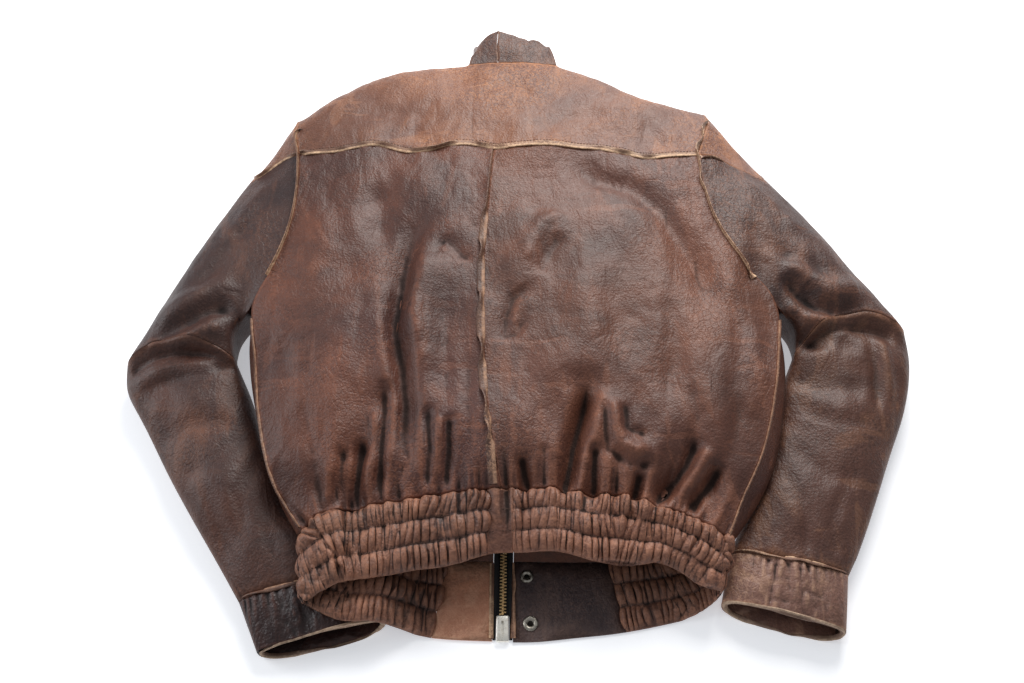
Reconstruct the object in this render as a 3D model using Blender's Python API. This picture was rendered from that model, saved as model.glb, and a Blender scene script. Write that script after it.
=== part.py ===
"""A worn leather blouson lying on its front: +Y runs from the hem to the collar, +X is its right in view."""
import bmesh
import bpy
import numpy as np
from mathutils import Matrix, Vector

# Sizes of the cloth, in metres
WALL = 0.0020
CUFF_WALL = 0.0022
SEAM_GAP = 0.00034
SIDE_HEIGHT = 0.047
TUCK = 0.072
SHOULDER_RADIUS = 0.035
DOME_ACROSS = 2.7
DOME_UP = 2.5
WRAP_ROUND = 1.3
ZIP_GAP = 0.0095
PUFF = 0.0036
PUFF_ROWS = 3
LIP_HEIGHT = 0.0012

# How many cells each panel has
LEFT_COLUMNS = 15
RIGHT_COLUMNS = 17
SIDE_ROWS = 13
ARMHOLE_ROWS = 11
YOKE_ROWS = 4
FOLD_ROWS = 5
WRAP_COLUMNS = 6
NECK_COLUMNS = 4
CAP_ROWS = 2
ELBOW_ROW = 6
UNDER_COLUMNS = 15
CUFF_ROWS = 4
COLLAR_ROWS = 4
BAND_ROWS = 6
PLEATS_PER_COLUMN = 3

LEFT = -1
RIGHT = 1

# The centre-back seam, from the hem to the yoke, as (x, y)
CENTRE_SEAM = [(-0.009, -0.300), (-0.009, -0.210), (-0.019, -0.162), (-0.025, -0.119), (-0.029, -0.062),
               (-0.031, 0.000), (-0.031, 0.064), (-0.027, 0.133), (-0.022, 0.207), (-0.010, 0.360)]

# The deepest fold of each back panel, which a column of cells follows, as (x, y)
MAIN_FOLD = {
    LEFT: [(-0.104, -0.212), (-0.103, -0.160), (-0.105, -0.116), (-0.108, -0.086), (-0.118, -0.030),
           (-0.117, -0.009), (-0.108, 0.080), (-0.103, 0.120), (-0.100, 0.207)],
    RIGHT: [(0.049, -0.212), (0.061, -0.153), (0.070, -0.118), (0.078, -0.085), (0.086, 0.000), (0.094, 0.100),
            (0.092, 0.207)],
}
FOLD_COLUMN = {LEFT: 8, RIGHT: 5}

# Half-outline of the body at its widest, as (x, y) from the hem up
SIDE = {
    LEFT: [(-0.186, -0.340), (-0.188, -0.300), (-0.191, -0.278), (-0.199, -0.252), (-0.226, -0.208),
           (-0.247, -0.155), (-0.265, -0.099), (-0.278, -0.040), (-0.284, 0.011), (-0.305, 0.060),
           (-0.322, 0.120), (-0.330, 0.300)],
    RIGHT: [(0.190, -0.340), (0.193, -0.300), (0.197, -0.275), (0.207, -0.252), (0.229, -0.223),
            (0.252, -0.187), (0.269, -0.144), (0.280, -0.099), (0.287, -0.052), (0.288, 0.005),
            (0.300, 0.060), (0.312, 0.120), (0.318, 0.300)],
}

# Side seam, then armhole, seen from above, as (x, y) from the hem to the yoke
BACK_EDGE = {
    LEFT: [(-0.184, -0.262), (-0.196, -0.236), (-0.222, -0.200), (-0.234, -0.170), (-0.250, -0.109),
           (-0.260, -0.049), (-0.269, -0.010), (-0.272, 0.006), (-0.264, 0.025), (-0.250, 0.062),
           (-0.240, 0.113), (-0.240, 0.171), (-0.244, 0.207)],
    RIGHT: [(0.190, -0.265), (0.202, -0.240), (0.218, -0.204), (0.234, -0.176), (0.251, -0.130),
            (0.262, -0.085), (0.272, -0.037), (0.277, 0.008), (0.268, 0.030), (0.252, 0.048),
            (0.234, 0.080), (0.219, 0.122), (0.213, 0.166), (0.211, 0.204)],
}
ARMPIT_Y = {LEFT: 0.006, RIGHT: 0.008}

# Furthest reach of the shoulders and the back neck, as (x, y)
SHOULDER_LINE = [(-0.256, 0.279), (-0.234, 0.303), (-0.207, 0.329), (-0.172, 0.354), (-0.137, 0.367),
                 (-0.088, 0.376), (0.000, 0.381), (0.044, 0.380), (0.077, 0.370), (0.113, 0.348),
                 (0.153, 0.322), (0.182, 0.312), (0.211, 0.303), (0.232, 0.296)]

# Seams across the back as (x, y): yoke, waistband, and the waistband's free edge
YOKE_SEAM = [(-0.244, 0.207), (-0.206, 0.206), (-0.184, 0.210), (-0.160, 0.217), (-0.139, 0.214),
             (-0.121, 0.206), (-0.099, 0.207), (-0.071, 0.216), (-0.037, 0.219), (-0.019, 0.212),
             (0.032, 0.215), (0.100, 0.213), (0.128, 0.205), (0.156, 0.199), (0.211, 0.204)]
BAND_SEAM = [(-0.196, -0.240), (-0.185, -0.228), (-0.160, -0.220), (-0.132, -0.217), (-0.109, -0.214),
             (-0.076, -0.208), (-0.053, -0.205), (-0.021, -0.203), (0.017, -0.201), (0.045, -0.201),
             (0.073, -0.205), (0.105, -0.208), (0.128, -0.215), (0.155, -0.222), (0.180, -0.232),
             (0.203, -0.246)]
BAND_EDGE = [(-0.190, -0.310), (-0.180, -0.303), (-0.155, -0.289), (-0.126, -0.284), (-0.095, -0.278),
             (-0.053, -0.272), (-0.017, -0.262), (0.016, -0.260), (0.046, -0.261), (0.075, -0.269),
             (0.119, -0.271), (0.133, -0.268), (0.152, -0.275), (0.172, -0.288), (0.195, -0.292)]

# The same seams on the front, under the garment
FRONT_BAND_SEAM = [(-0.200, -0.240), (-0.150, -0.246), (-0.080, -0.250), (0.000, -0.252), (0.090, -0.252),
                   (0.150, -0.246), (0.205, -0.238)]
FRONT_BAND_EDGE = [(-0.188, -0.303), (-0.176, -0.311), (-0.155, -0.318), (-0.128, -0.318), (-0.105, -0.320),
                   (-0.074, -0.325), (-0.020, -0.328), (0.018, -0.329), (0.059, -0.325), (0.097, -0.321),
                   (0.140, -0.313), (0.165, -0.307), (0.184, -0.300), (0.196, -0.288)]

# Height of the back over the floor along the centre, as (y, z)
CROWN_LINE = [(-0.340, 0.034), (-0.300, 0.040), (-0.270, 0.047), (-0.250, 0.053), (-0.225, 0.057),
              (-0.203, 0.060), (-0.185, 0.069), (-0.150, 0.074), (-0.090, 0.078), (0.000, 0.080), (0.150, 0.080),
              (0.230, 0.079), (0.300, 0.075), (0.345, 0.071), (0.400, 0.066)]

# Folds of the back: path as (x, y), depth and half-width; a negative depth is a valley
FOLDS = [
    ([(-0.103, 0.120), (-0.117, -0.009), (-0.118, -0.030), (-0.107, -0.086), (-0.104, -0.116),
      (-0.103, -0.160)], -0.0085, 0.013),
    ([(-0.088, 0.060), (-0.096, -0.020), (-0.088, -0.090)], 0.0050, 0.016),
    ([(-0.121, -0.057), (-0.113, -0.108), (-0.117, -0.166), (-0.110, -0.206)], 0.0070, 0.011),
    ([(-0.132, -0.090), (-0.136, -0.174)], -0.0090, 0.010),
    ([(-0.150, -0.150), (-0.152, -0.226)], -0.0080, 0.011),
    ([(-0.162, -0.170), (-0.170, -0.224)], 0.0050, 0.010),
    ([(-0.151, 0.162), (-0.140, 0.073), (-0.126, 0.015)], -0.0045, 0.022),
    ([(-0.200, 0.120), (-0.205, 0.020), (-0.190, -0.080)], 0.0040, 0.030),
    ([(-0.083, 0.071), (-0.066, 0.076), (-0.042, 0.048)], -0.0030, 0.011),
    ([(-0.103, -0.170), (-0.104, -0.212)], -0.0070, 0.010),
    ([(-0.084, -0.150), (-0.080, -0.208)], 0.0050, 0.011),
    ([(-0.062, -0.165), (-0.061, -0.206)], -0.0065, 0.010),
    ([(-0.040, -0.176), (-0.039, -0.204)], -0.0045, 0.009),
    ([(0.064, 0.200), (0.095, 0.171), (0.137, 0.150), (0.162, 0.123), (0.196, 0.045), (0.207, -0.023)],
     -0.0060, 0.020),
    ([(0.017, 0.041), (0.030, 0.090), (0.060, 0.103)], 0.0045, 0.012),
    ([(0.023, 0.021), (0.001, 0.001), (-0.005, -0.025), (0.004, -0.040)], -0.0045, 0.010),
    ([(0.050, 0.040), (0.074, -0.040), (0.072, -0.100)], 0.0050, 0.024),
    ([(0.078, -0.085), (0.062, -0.153), (0.050, -0.208)], -0.0100, 0.012),
    ([(0.098, -0.100), (0.086, -0.150), (0.070, -0.206)], 0.0060, 0.012),
    ([(0.012, -0.165), (0.016, -0.206)], -0.0060, 0.010),
    ([(0.034, -0.150), (0.034, -0.206)], 0.0045, 0.012),
    ([(0.084, -0.165), (0.080, -0.212)], -0.0060, 0.010),
    ([(0.099, -0.125), (0.103, -0.163), (0.130, -0.170)], 0.0070, 0.012),
    ([(0.169, -0.155), (0.134, -0.216)], -0.0095, 0.012),
    ([(0.178, -0.170), (0.148, -0.220)], 0.0050, 0.010),
    ([(0.194, -0.185), (0.164, -0.226)], -0.0075, 0.010),
    ([(0.215, 0.050), (0.225, -0.060), (0.195, -0.150)], 0.0045, 0.026),
]

# Sleeve stations from the armhole to the cuff: how far along, inner point, outer point, height,
# height of the inner edge and of the outer edge
SLEEVE = {
    LEFT: [
        (0.00, (-0.2740, 0.004), (-0.264, 0.262), 0.068, 0.046, 0.034),
        (0.07, (-0.2860, -0.002), (-0.290, 0.238), 0.067, 0.044, 0.032),
        (0.15, (-0.2900, -0.008), (-0.308, 0.190), 0.065, 0.040, 0.030),
        (0.25, (-0.2920, -0.018), (-0.336, 0.122), 0.063, 0.036, 0.026),
        (0.35, (-0.2910, -0.030), (-0.370, 0.036), 0.060, 0.032, 0.023),
        (0.45, (-0.2880, -0.044), (-0.401, -0.050), 0.056, 0.028, 0.021),
        (0.52, (-0.2800, -0.060), (-0.396, -0.080), 0.047, 0.017, 0.018),
        (0.60, (-0.2680, -0.084), (-0.374, -0.112), 0.043, 0.012, 0.017),
        (0.70, (-0.2530, -0.122), (-0.345, -0.160), 0.040, 0.010, 0.016),
        (0.80, (-0.2320, -0.167), (-0.313, -0.208), 0.037, 0.010, 0.015),
        (0.90, (-0.1960, -0.218), (-0.282, -0.252), 0.032, 0.010, 0.014),
        (1.00, (-0.1370, -0.266), (-0.252, -0.296), 0.026, 0.011, 0.012),
    ],
    RIGHT: [
        (0.00, (0.2780, 0.006), (0.246, 0.280), 0.068, 0.046, 0.034),
        (0.07, (0.2900, 0.000), (0.278, 0.246), 0.067, 0.044, 0.032),
        (0.15, (0.2950, -0.006), (0.301, 0.194), 0.065, 0.040, 0.030),
        (0.25, (0.2970, -0.014), (0.334, 0.142), 0.063, 0.036, 0.026),
        (0.35, (0.2970, -0.024), (0.376, 0.066), 0.060, 0.032, 0.023),
        (0.45, (0.2950, -0.036), (0.417, -0.010), 0.056, 0.028, 0.021),
        (0.52, (0.2890, -0.050), (0.416, -0.050), 0.047, 0.017, 0.018),
        (0.60, (0.2780, -0.074), (0.402, -0.097), 0.043, 0.012, 0.017),
        (0.70, (0.2670, -0.112), (0.381, -0.140), 0.040, 0.010, 0.016),
        (0.80, (0.2510, -0.156), (0.358, -0.188), 0.038, 0.010, 0.016),
        (0.90, (0.2290, -0.204), (0.333, -0.240), 0.035, 0.010, 0.015),
        (1.00, (0.2060, -0.250), (0.314, -0.272), 0.030, 0.011, 0.014),
    ],
}

# How far the elbow fold bows up, as a share of the sleeve's width there
ELBOW_BULGE = {LEFT: 0.15, RIGHT: 0.22}

# Where the rows of cells lie along a sleeve; the elbow seam is the row at 0.45
SLEEVE_STATIONS = [0.0, 0.075, 0.15, 0.225, 0.30, 0.375, 0.45, 0.487, 0.53, 0.58, 0.64, 0.70, 0.76, 0.82, 0.88,
                   0.94, 1.0]

# Cuff: inner and outer corner of the mouth, its height, and how far the lower rim stands out
CUFF_MOUTH = {
    LEFT: ((-0.115, -0.312), (-0.230, -0.341), 0.024, 0.008),
    RIGHT: ((0.193, -0.296), (0.303, -0.325), 0.028, 0.008),
}

# Folds across the sleeves: (how far along, depth, half-width along) at the elbow, below it and above
SLEEVE_FOLDS = {
    LEFT: [(0.490, -0.014, 0.022), (0.530, 0.005, 0.022), (0.585, -0.005, 0.016), (0.400, 0.005, 0.040),
           (0.680, -0.004, 0.020), (0.780, 0.003, 0.025), (0.900, -0.004, 0.018)],
    RIGHT: [(0.490, -0.014, 0.022), (0.530, 0.005, 0.022), (0.585, -0.005, 0.016), (0.400, 0.005, 0.040),
            (0.660, 0.004, 0.022), (0.740, -0.004, 0.020), (0.860, 0.003, 0.022)],
}

# Collar: from its seam to its free edge, as (share of the way from the left end to the right end, x, y, z)
COLLAR_RISE = [(0.00, 0.006, 0.059, 0.000), (0.14, 0.002, 0.056, 0.003), (0.26, 0.004, 0.050, 0.012),
               (0.34, 0.004, 0.044, 0.004), (0.40, 0.010, 0.040, -0.008), (0.45, 0.003, 0.049, 0.001),
               (0.50, 0.000, 0.054, 0.006), (0.55, -0.003, 0.048, 0.001), (0.60, -0.010, 0.038, -0.008),
               (0.66, -0.008, 0.042, 0.004), (0.74, -0.014, 0.049, 0.012), (0.86, -0.012, 0.056, 0.003),
               (1.00, -0.006, 0.059, 0.000)]
NECK_Y = 0.284
NECK_ENDS = (-0.058, 0.050)
NECK_MIDDLE = (-0.003, 0.330, 0.030)

# Height of the waistband's free edge at its middle, how much lower it is at the sides, and its corners' x
BAND_EDGE_HEIGHT = 0.047
BAND_EDGE_FALL = 0.016
BAND_CORNER = {LEFT: -0.186, RIGHT: 0.191}
BAND_FLOOR_X = 0.158
BAND_SAG = 0.003
FRONT_HEM_Y = -0.252
FRONT_EDGE_Y = -0.328
FRONT_SIDE_X = 0.130

# How the yoke turns over the shoulders, row by row: 1 is straight up and -1 straight down
SHOULDER_TURNS = [0.52, 0.20, -0.14, -0.52, -1.0]

# The hem rises over the left cuff, and the neck over the slider: (x, y), half-sizes, rise
CUFF_LIFT = ((-0.186, -0.300), (0.062, 0.052), 0.0285)
NECK_LIFT = ((-0.003, 0.290), (0.040, 0.075), 0.0050)

# Zip and snaps
CHAIN_WIDTH = 0.0064
CHAIN_THICK = 0.0026
TAPE_THICK = 0.0009
TAPE_LIFT = 0.0006
HARD_LIFT = 0.0002
BOX_WIDTH = 0.0116
BOX_LENGTH = 0.0240
BOX_THICK = 0.0050
BOX_START = -0.3290
SLIDER_Y = 0.262
SLIDER_HALF = 0.0027
SLIDER_INSIDE = 0.0016
BRIDGE_DEPTH = 0.0034
BRIDGE_METAL = 0.0009
TAB_THICK = 0.0016
TAB_DROP = 0.0013
ZIP_FOOT = (-0.0088, -0.325)
ZIP_LEAN = 0.0058 / 0.60
SNAPS = [((0.014, -0.267), 0.0064), ((0.017, -0.312), 0.0072)]


def through(knots, values, at):
    """Smooth curve through values at knots, read at each of at; values may be numbers or points."""
    knots = np.asarray(knots, float)
    values = np.asarray(values, float)
    at = np.asarray(at, float)
    slopes = np.gradient(values, knots, axis=0)
    i = np.clip(np.searchsorted(knots, at, side="right") - 1, 0, len(knots) - 2)
    step = knots[i + 1] - knots[i]
    s = np.clip((at - knots[i]) / step, 0.0, 1.0)
    if values.ndim > 1:
        s = s[..., None]
        step = step[..., None]
    start = 2 * s**3 - 3 * s**2 + 1
    lean = s**3 - 2 * s**2 + s
    finish = 3 * s**2 - 2 * s**3
    land = s**3 - s**2
    return start * values[i] + lean * step * slopes[i] + finish * values[i + 1] + land * step * slopes[i + 1]


def along_y(outline, y):
    """x of an outline of (x, y) points at height y."""
    points = np.asarray(outline)
    return through(points[:, 1], points[:, 0], y)


def along_x(outline, x):
    """y of an outline of (x, y) points at x, level beyond its ends."""
    points = np.asarray(outline)
    return through(points[:, 0], points[:, 1], np.clip(x, points[0, 0], points[-1, 0]))


def soft_step(value):
    s = np.clip(value, 0.0, 1.0)
    return s * s * (3 - 2 * s)


def distance_to_path(x, y, path):
    """Distance from each (x, y) to a polyline, and how far along the nearest point lies (0 to 1)."""
    points = np.asarray(path, float)
    lengths = np.hypot(*np.diff(points, axis=0).T)
    starts = np.concatenate([[0.0], np.cumsum(lengths)])
    best = np.full(np.shape(x), 1e9)
    share = np.zeros(np.shape(x))
    for n, length in enumerate(lengths):
        a = points[n]
        d = (points[n + 1] - a) / length
        along = (x - a[0]) * d[0] + (y - a[1]) * d[1]
        held = np.clip(along, 0.0, length)
        gap = np.hypot(x - a[0] - held * d[0], y - a[1] - held * d[1])
        nearer = gap < best
        best = np.where(nearer, gap, best)
        share = np.where(nearer, (starts[n] + held) / starts[-1], share)
    return best, share


def fold_relief(x, y):
    """Height that the folds of the back add at (x, y)."""
    total = np.zeros(np.shape(x))
    for path, depth, width in FOLDS:
        gap, share = distance_to_path(x, y, path)
        fade = soft_step(share / 0.2 + 0.25) * soft_step((1 - share) / 0.2 + 0.25)
        total = total + depth * np.exp(-((gap / width) ** 2)) * fade
    return total


def mound(x, y, lift):
    (cx, cy), (sx, sy), rise = lift
    far = np.hypot((x - cx) / sx, (y - cy) / sy)
    return rise * soft_step((1.75 - far) / 0.75)


def underside(x, y):
    """Height of the garment's lower face over the floor: nothing, save over the cuff and the slider."""
    return mound(x, y, CUFF_LIFT) + mound(x, y, NECK_LIFT)


def crown(y):
    points = np.asarray(CROWN_LINE)
    return through(points[:, 0], points[:, 1], y)


def side_height(y):
    return np.minimum(SIDE_HEIGHT, 0.62 * crown(y))


def centre_x(y):
    return along_y(CENTRE_SEAM, y)


def top_height(x, y):
    """Height of the back at (x, y), without its folds."""
    middle = centre_x(y)
    half = np.where(x < middle, middle - along_y(SIDE[LEFT], y), along_y(SIDE[RIGHT], y) - middle)
    share = np.clip(np.abs(x - middle) / half, 0.0, 0.9995)
    low = np.maximum(side_height(y), underside(x, y) + 0.009)
    high = np.maximum(crown(y), low + 0.008)
    return low + (high - low) * (1 - share**DOME_ACROSS) ** (1 / DOME_UP)


def side_wrap(side, y, turn):
    """Point of the body's side at y: turn 0 is the widest place, 1 the floor."""
    edge = along_y(SIDE[side], y)
    angle = np.clip(turn, 0.0, 1.0) * np.pi / 2
    x = edge - side * TUCK * (1 - np.cos(angle) ** WRAP_ROUND)
    floor = underside(x, y)
    high = np.maximum(side_height(y), floor + 0.009)
    return x, floor + (high - floor) * (1 - np.sin(angle) ** WRAP_ROUND)


def under_height(side, x, y):
    """Height of the body's overhanging side over (x, y); far up where the body doesn't reach."""
    edge = along_y(SIDE[side], y)
    inside = side * (edge - x)
    share = np.clip(1 - inside / TUCK, 0.0, 1.0)
    rise = 1 - (1 - share ** (1 / 0.65)) ** 0.65
    floor = underside(x, y)
    height = floor + (side_height(y) - floor) * rise
    return np.where(inside > 0, height, height + 40 * np.maximum(-inside, 0.0))


def lerp(a, b, t):
    return a + (b - a) * t


def place(x, y, z):
    return np.stack(np.broadcast_arrays(x, y, z), axis=-1)


def back_edge(side, y):
    return along_y(BACK_EDGE[side], y)


def edge_rows(side):
    """y of the rows of cells along a side seam and the armhole above it."""
    hem = along_x(BAND_SEAM, side * 0.200)
    for _ in range(8):
        hem = along_x(BAND_SEAM, back_edge(side, hem))
    top = BACK_EDGE[side][-1][1]
    below = np.linspace(hem, ARMPIT_Y[side], SIDE_ROWS + 1)
    return np.concatenate([below, np.linspace(ARMPIT_Y[side], top, ARMHOLE_ROWS + 1)[1:]])


def column_x(y_left, y_right, y_middle):
    """x of the columns of one row across the back, from the left edge over the centre to the right."""
    middle = centre_x(y_middle)
    folds = {side: along_y(MAIN_FOLD[side], y_middle) for side in (LEFT, RIGHT)}
    ends = [back_edge(LEFT, y_left), folds[LEFT], middle, folds[RIGHT], back_edge(RIGHT, y_right)]
    counts = [FOLD_COLUMN[LEFT], LEFT_COLUMNS - FOLD_COLUMN[LEFT], FOLD_COLUMN[RIGHT],
              RIGHT_COLUMNS - FOLD_COLUMN[RIGHT]]
    parts = [np.linspace(ends[n], ends[n + 1], counts[n] + 1)[1:] for n in range(4)]
    return np.concatenate([[ends[0]], *parts])


def back_grid():
    """Outer points of the back, by column from left to right and row from the hem to the yoke."""
    rows = SIDE_ROWS + ARMHOLE_ROWS
    left = edge_rows(LEFT)
    right = edge_rows(RIGHT)
    grid = np.zeros((LEFT_COLUMNS + RIGHT_COLUMNS + 1, rows + 1, 3))
    first = column_x(left[0], right[0], -0.203)
    last = column_x(left[-1], right[-1], 0.213)
    for n in range(rows + 1):
        up = n / rows
        x = column_x(left[n], right[n], lerp(-0.203, 0.213, up))
        hem = along_x(BAND_SEAM, first)
        yoke = along_x(YOKE_SEAM, last)
        y = lerp(hem, yoke, up)
        from_left = np.clip(1 - np.arange(len(x)) / LEFT_COLUMNS, 0, 1) ** 2
        from_right = np.clip((np.arange(len(x)) - LEFT_COLUMNS) / RIGHT_COLUMNS, 0, 1) ** 2
        y = y + from_left * (left[n] - y[0]) + from_right * (right[n] - y[-1])
        grid[:, n] = place(x, y, top_height(x, y))
    x, y = grid[..., 0], grid[..., 1]
    ends = np.minimum(1.0, (rows - np.arange(rows + 1)) / 2 + 0.35)
    across = np.arange(grid.shape[0])
    sides = np.minimum(1.0, np.minimum(across, across[-1] - across) / 2)
    grid[..., 2] += fold_relief(x, y) * ends * sides[:, None]
    return grid


def yoke_grid(back):
    """Outer points of the yoke: the back's columns, from its seam over the shoulders to the front."""
    columns = back.shape[0]
    grid = np.zeros((columns, YOKE_ROWS + FOLD_ROWS + 1, 3))
    start = back[:, -1]
    ends = (SHOULDER_LINE[0][0] + 0.002, SHOULDER_LINE[-1][0] - 0.002)
    spread = (start[:, 0] - start[0, 0]) / (start[-1, 0] - start[0, 0])
    far_x = lerp(ends[0], ends[1], spread)
    far_y = along_x(SHOULDER_LINE, far_x)
    crest_y = far_y - SHOULDER_RADIUS
    for n in range(YOKE_ROWS + 1):
        up = n / YOKE_ROWS
        x = lerp(start[:, 0], far_x, up)
        y = lerp(start[:, 1], crest_y, up)
        grid[:, n] = place(x, y, top_height(x, y))
    grid[:, 0] = start
    grid[:, 1, 2] += (start[:, 2] - top_height(start[:, 0], start[:, 1])) * 0.35
    top = grid[:, YOKE_ROWS, 2]
    tuck = 0.004
    low = underside(far_x, crest_y - tuck)
    for n, turn in enumerate(SHOULDER_TURNS):
        angle = turn * np.pi / 2
        z = lerp(low, top, 0.5 + 0.5 * np.sin(angle))
        y = crest_y + SHOULDER_RADIUS * np.cos(angle)
        if turn == SHOULDER_TURNS[-1]:
            y = y - tuck
        grid[:, YOKE_ROWS + 1 + n] = place(far_x, y, z)
    return grid


def neck_columns(yoke):
    """First and last column of the yoke that end at the neck."""
    x = yoke[:, YOKE_ROWS, 0]
    first = int(np.argmin(np.abs(x - NECK_ENDS[0])))
    last = int(np.argmin(np.abs(x - NECK_ENDS[1])))
    return first, last


def zip_x(y):
    """x of the zip's middle at y."""
    return ZIP_FOOT[0] + (y - ZIP_FOOT[1]) * ZIP_LEAN


def neckline(side, corner):
    """Points of the front neck edge, from the shoulder seam's end to the zip."""
    end_x = zip_x(NECK_Y) + side * ZIP_GAP
    t = np.linspace(0, 1, NECK_COLUMNS + 1)
    x = lerp(corner[0], end_x, t**0.85)
    y = corner[1] + (NECK_Y - corner[1]) * np.sin(t * np.pi / 2) ** 0.9
    return place(x, y, underside(x, y))


def front_grid(side, back, yoke):
    """Outer points of a front: from the side seam and armhole to the zip, from the hem to the neck."""
    rows = SIDE_ROWS + ARMHOLE_ROWS
    edge = back[0 if side == LEFT else -1]
    first, last = neck_columns(yoke)
    shoulder = yoke[: first + 1, -1] if side == LEFT else yoke[last:, -1][::-1]
    top = np.concatenate([shoulder, neckline(side, shoulder[-1])[1:]])
    columns = len(top) - 1
    grid = np.zeros((columns + 1, rows + 1, 3))
    flat = np.arange(WRAP_COLUMNS, columns + 1)
    across = (flat - WRAP_COLUMNS) / (columns - WRAP_COLUMNS)
    turns = np.linspace(0, 1, WRAP_COLUMNS) ** 0.9
    armhole = front_armhole(side, edge[SIDE_ROWS], top[0])
    hem_y = along_x(FRONT_BAND_SEAM, side * FRONT_SIDE_X)
    for n in range(rows + 1):
        if n <= SIDE_ROWS:
            start = edge[n]
            up = n / SIDE_ROWS
            middle_y = lerp(hem_y, start[1], up)
            contact_x = along_y(SIDE[side], middle_y) - side * TUCK
            contact = np.array([contact_x, middle_y])
        else:
            start = armhole[n - SIDE_ROWS]
            up = (n - SIDE_ROWS) / ARMHOLE_ROWS
            low = np.array([along_y(SIDE[side], ARMPIT_Y[side]) - side * TUCK, ARMPIT_Y[side]])
            contact = lerp(low, top[WRAP_COLUMNS, :2], up)
        end_low = np.array([zip_x(FRONT_HEM_Y) + side * ZIP_GAP, FRONT_HEM_Y])
        end_high = top[-1, :2]
        end = lerp(end_low, end_high, n / rows)
        line = lerp(contact[None], end[None], across[:, None])
        bow_low = along_x(FRONT_BAND_SEAM, line[:, 0]) - lerp(hem_y, FRONT_HEM_Y, across)
        up_all = n / rows
        bow_top = top[flat, :2] - lerp(top[WRAP_COLUMNS, :2][None], end_high[None], across[:, None])
        line[:, 1] += bow_low * (1 - up_all) ** 2
        line += bow_top * up_all**2
        grid[flat, n] = place(line[:, 0], line[:, 1], underside(line[:, 0], line[:, 1]))
        if n <= SIDE_ROWS:
            y = lerp(start[1], contact[1], np.linspace(0, 1, WRAP_COLUMNS + 1))[1:-1]
            x, z = side_wrap(side, y, turns[1:] * 0.93)
            grid[0, n] = start
            grid[1:WRAP_COLUMNS, n] = place(x, y, z)
            widest = float(side_wrap(side, start[1], 0.0)[1])
            grid[1, n, 2] = lerp(grid[1, n, 2], widest, 0.3)
        else:
            share = np.linspace(0, 1, WRAP_COLUMNS + 1)[:-1]
            x = lerp(start[0], contact[0], share)
            y = lerp(start[1], contact[1], share)
            z = underside(x, y) + start[2] * (1 - share) ** 3.2
            grid[:WRAP_COLUMNS, n] = place(x, y, z)
    grid[:, rows] = top
    return grid


def front_armhole(side, armpit, tip):
    """Points of the armhole under the garment, from the armpit to the shoulder's front end."""
    path = {
        LEFT: [(0.0, armpit), (0.07, (-0.2800, 0.014, 0.034)), (0.14, (-0.2690, 0.030, 0.010)),
               (0.22, (-0.252, 0.052, 0.0)), (0.42, (-0.229, 0.110, 0.0)), (0.66, (-0.226, 0.172, 0.0)),
               (1.0, tip)],
        RIGHT: [(0.0, armpit), (0.07, (0.2830, 0.016, 0.034)), (0.14, (0.2710, 0.032, 0.010)),
                (0.22, (0.250, 0.054, 0.0)), (0.42, (0.216, 0.110, 0.0)), (0.66, (0.203, 0.180, 0.0)),
                (1.0, tip)],
    }[side]
    share = np.array([p[0] for p in path])
    points = np.array([p[1] for p in path])
    at = np.linspace(0, 1, ARMHOLE_ROWS + 1)
    line = through(share, points, at)
    line[:, 2] = np.maximum(line[:, 2], 0.0)
    line[at > 0.21, 2] = 0.0
    line[0] = armpit
    line[-1] = tip
    return line


def sleeve_angles(count):
    """Angle round the sleeve of each column: 0 at the inner edge, over the top to pi at the outer."""
    before = np.linspace(0, 150, ARMHOLE_ROWS + 1)
    cap = np.linspace(150, 210, YOKE_ROWS + FOLD_ROWS + 1)[1:]
    after = np.linspace(210, 360, ARMHOLE_ROWS + 1)[1:]
    return np.radians(np.concatenate([before, cap, after]))[:count]


def sleeve_ring(side, at, angles):
    """Points of the sleeve's own form round one station."""
    table = SLEEVE[side]
    share = [row[0] for row in table]
    inner = through(share, [row[1] for row in table], at)
    outer = through(share, [row[2] for row in table], at)
    height = through(share, [row[3] for row in table], at)
    inner_z = through(share, [row[4] for row in table], at)
    outer_z = through(share, [row[5] for row in table], at)
    across = 0.5 - 0.5 * np.cos(angles)
    chord = outer - inner
    bend = np.array([-chord[1], chord[0]]) * side
    bulge = ELBOW_BULGE[side] * np.sin(np.pi * across) * np.exp(-(((at - 0.47) / 0.12) ** 2))
    upper = np.sin(angles) >= 0
    plan = inner + chord * across[:, None] + bend * (bulge * upper)[:, None]
    edge_z = lerp(inner_z, outer_z, across)
    rise = np.abs(np.sin(angles))
    folds = sum(depth * np.exp(-(((at - where) / width) ** 2)) for where, depth, width in SLEEVE_FOLDS[side])
    z_top = edge_z + (height - edge_z) * rise**0.8 + folds * rise * soft_step((across - 0.04) / 0.30)
    z_low = edge_z * np.clip(1 - rise / 0.55, 0, 1) ** 1.8
    z = np.where(upper, z_top, z_low)
    limit = under_height(side, plan[:, 0], plan[:, 1]) - 0.0042 + 0.1 * soft_step((plan[:, 1] + 0.010) / 0.030)
    z = np.minimum(z, np.maximum(limit, 0.0075))
    return place(plan[:, 0], plan[:, 1], z)


def sleeve_grid(side, back, yoke, front):
    """Outer points of a sleeve: round it from the armpit over the top, and along it to the cuff."""
    edge = 0 if side == LEFT else -1
    rows = SIDE_ROWS + ARMHOLE_ROWS
    start = np.concatenate([back[edge, SIDE_ROWS:], yoke[edge, 1:], front[0, SIDE_ROWS:rows][::-1]])
    angles = sleeve_angles(len(start))
    grid = np.zeros((len(start), len(SLEEVE_STATIONS), 3))
    for n, at in enumerate(SLEEVE_STATIONS):
        own = sleeve_ring(side, at, angles)
        blend = soft_step(at / 0.20)
        grid[:, n] = lerp(start, own, blend)
    grid[:, 0] = start
    return grid


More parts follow.
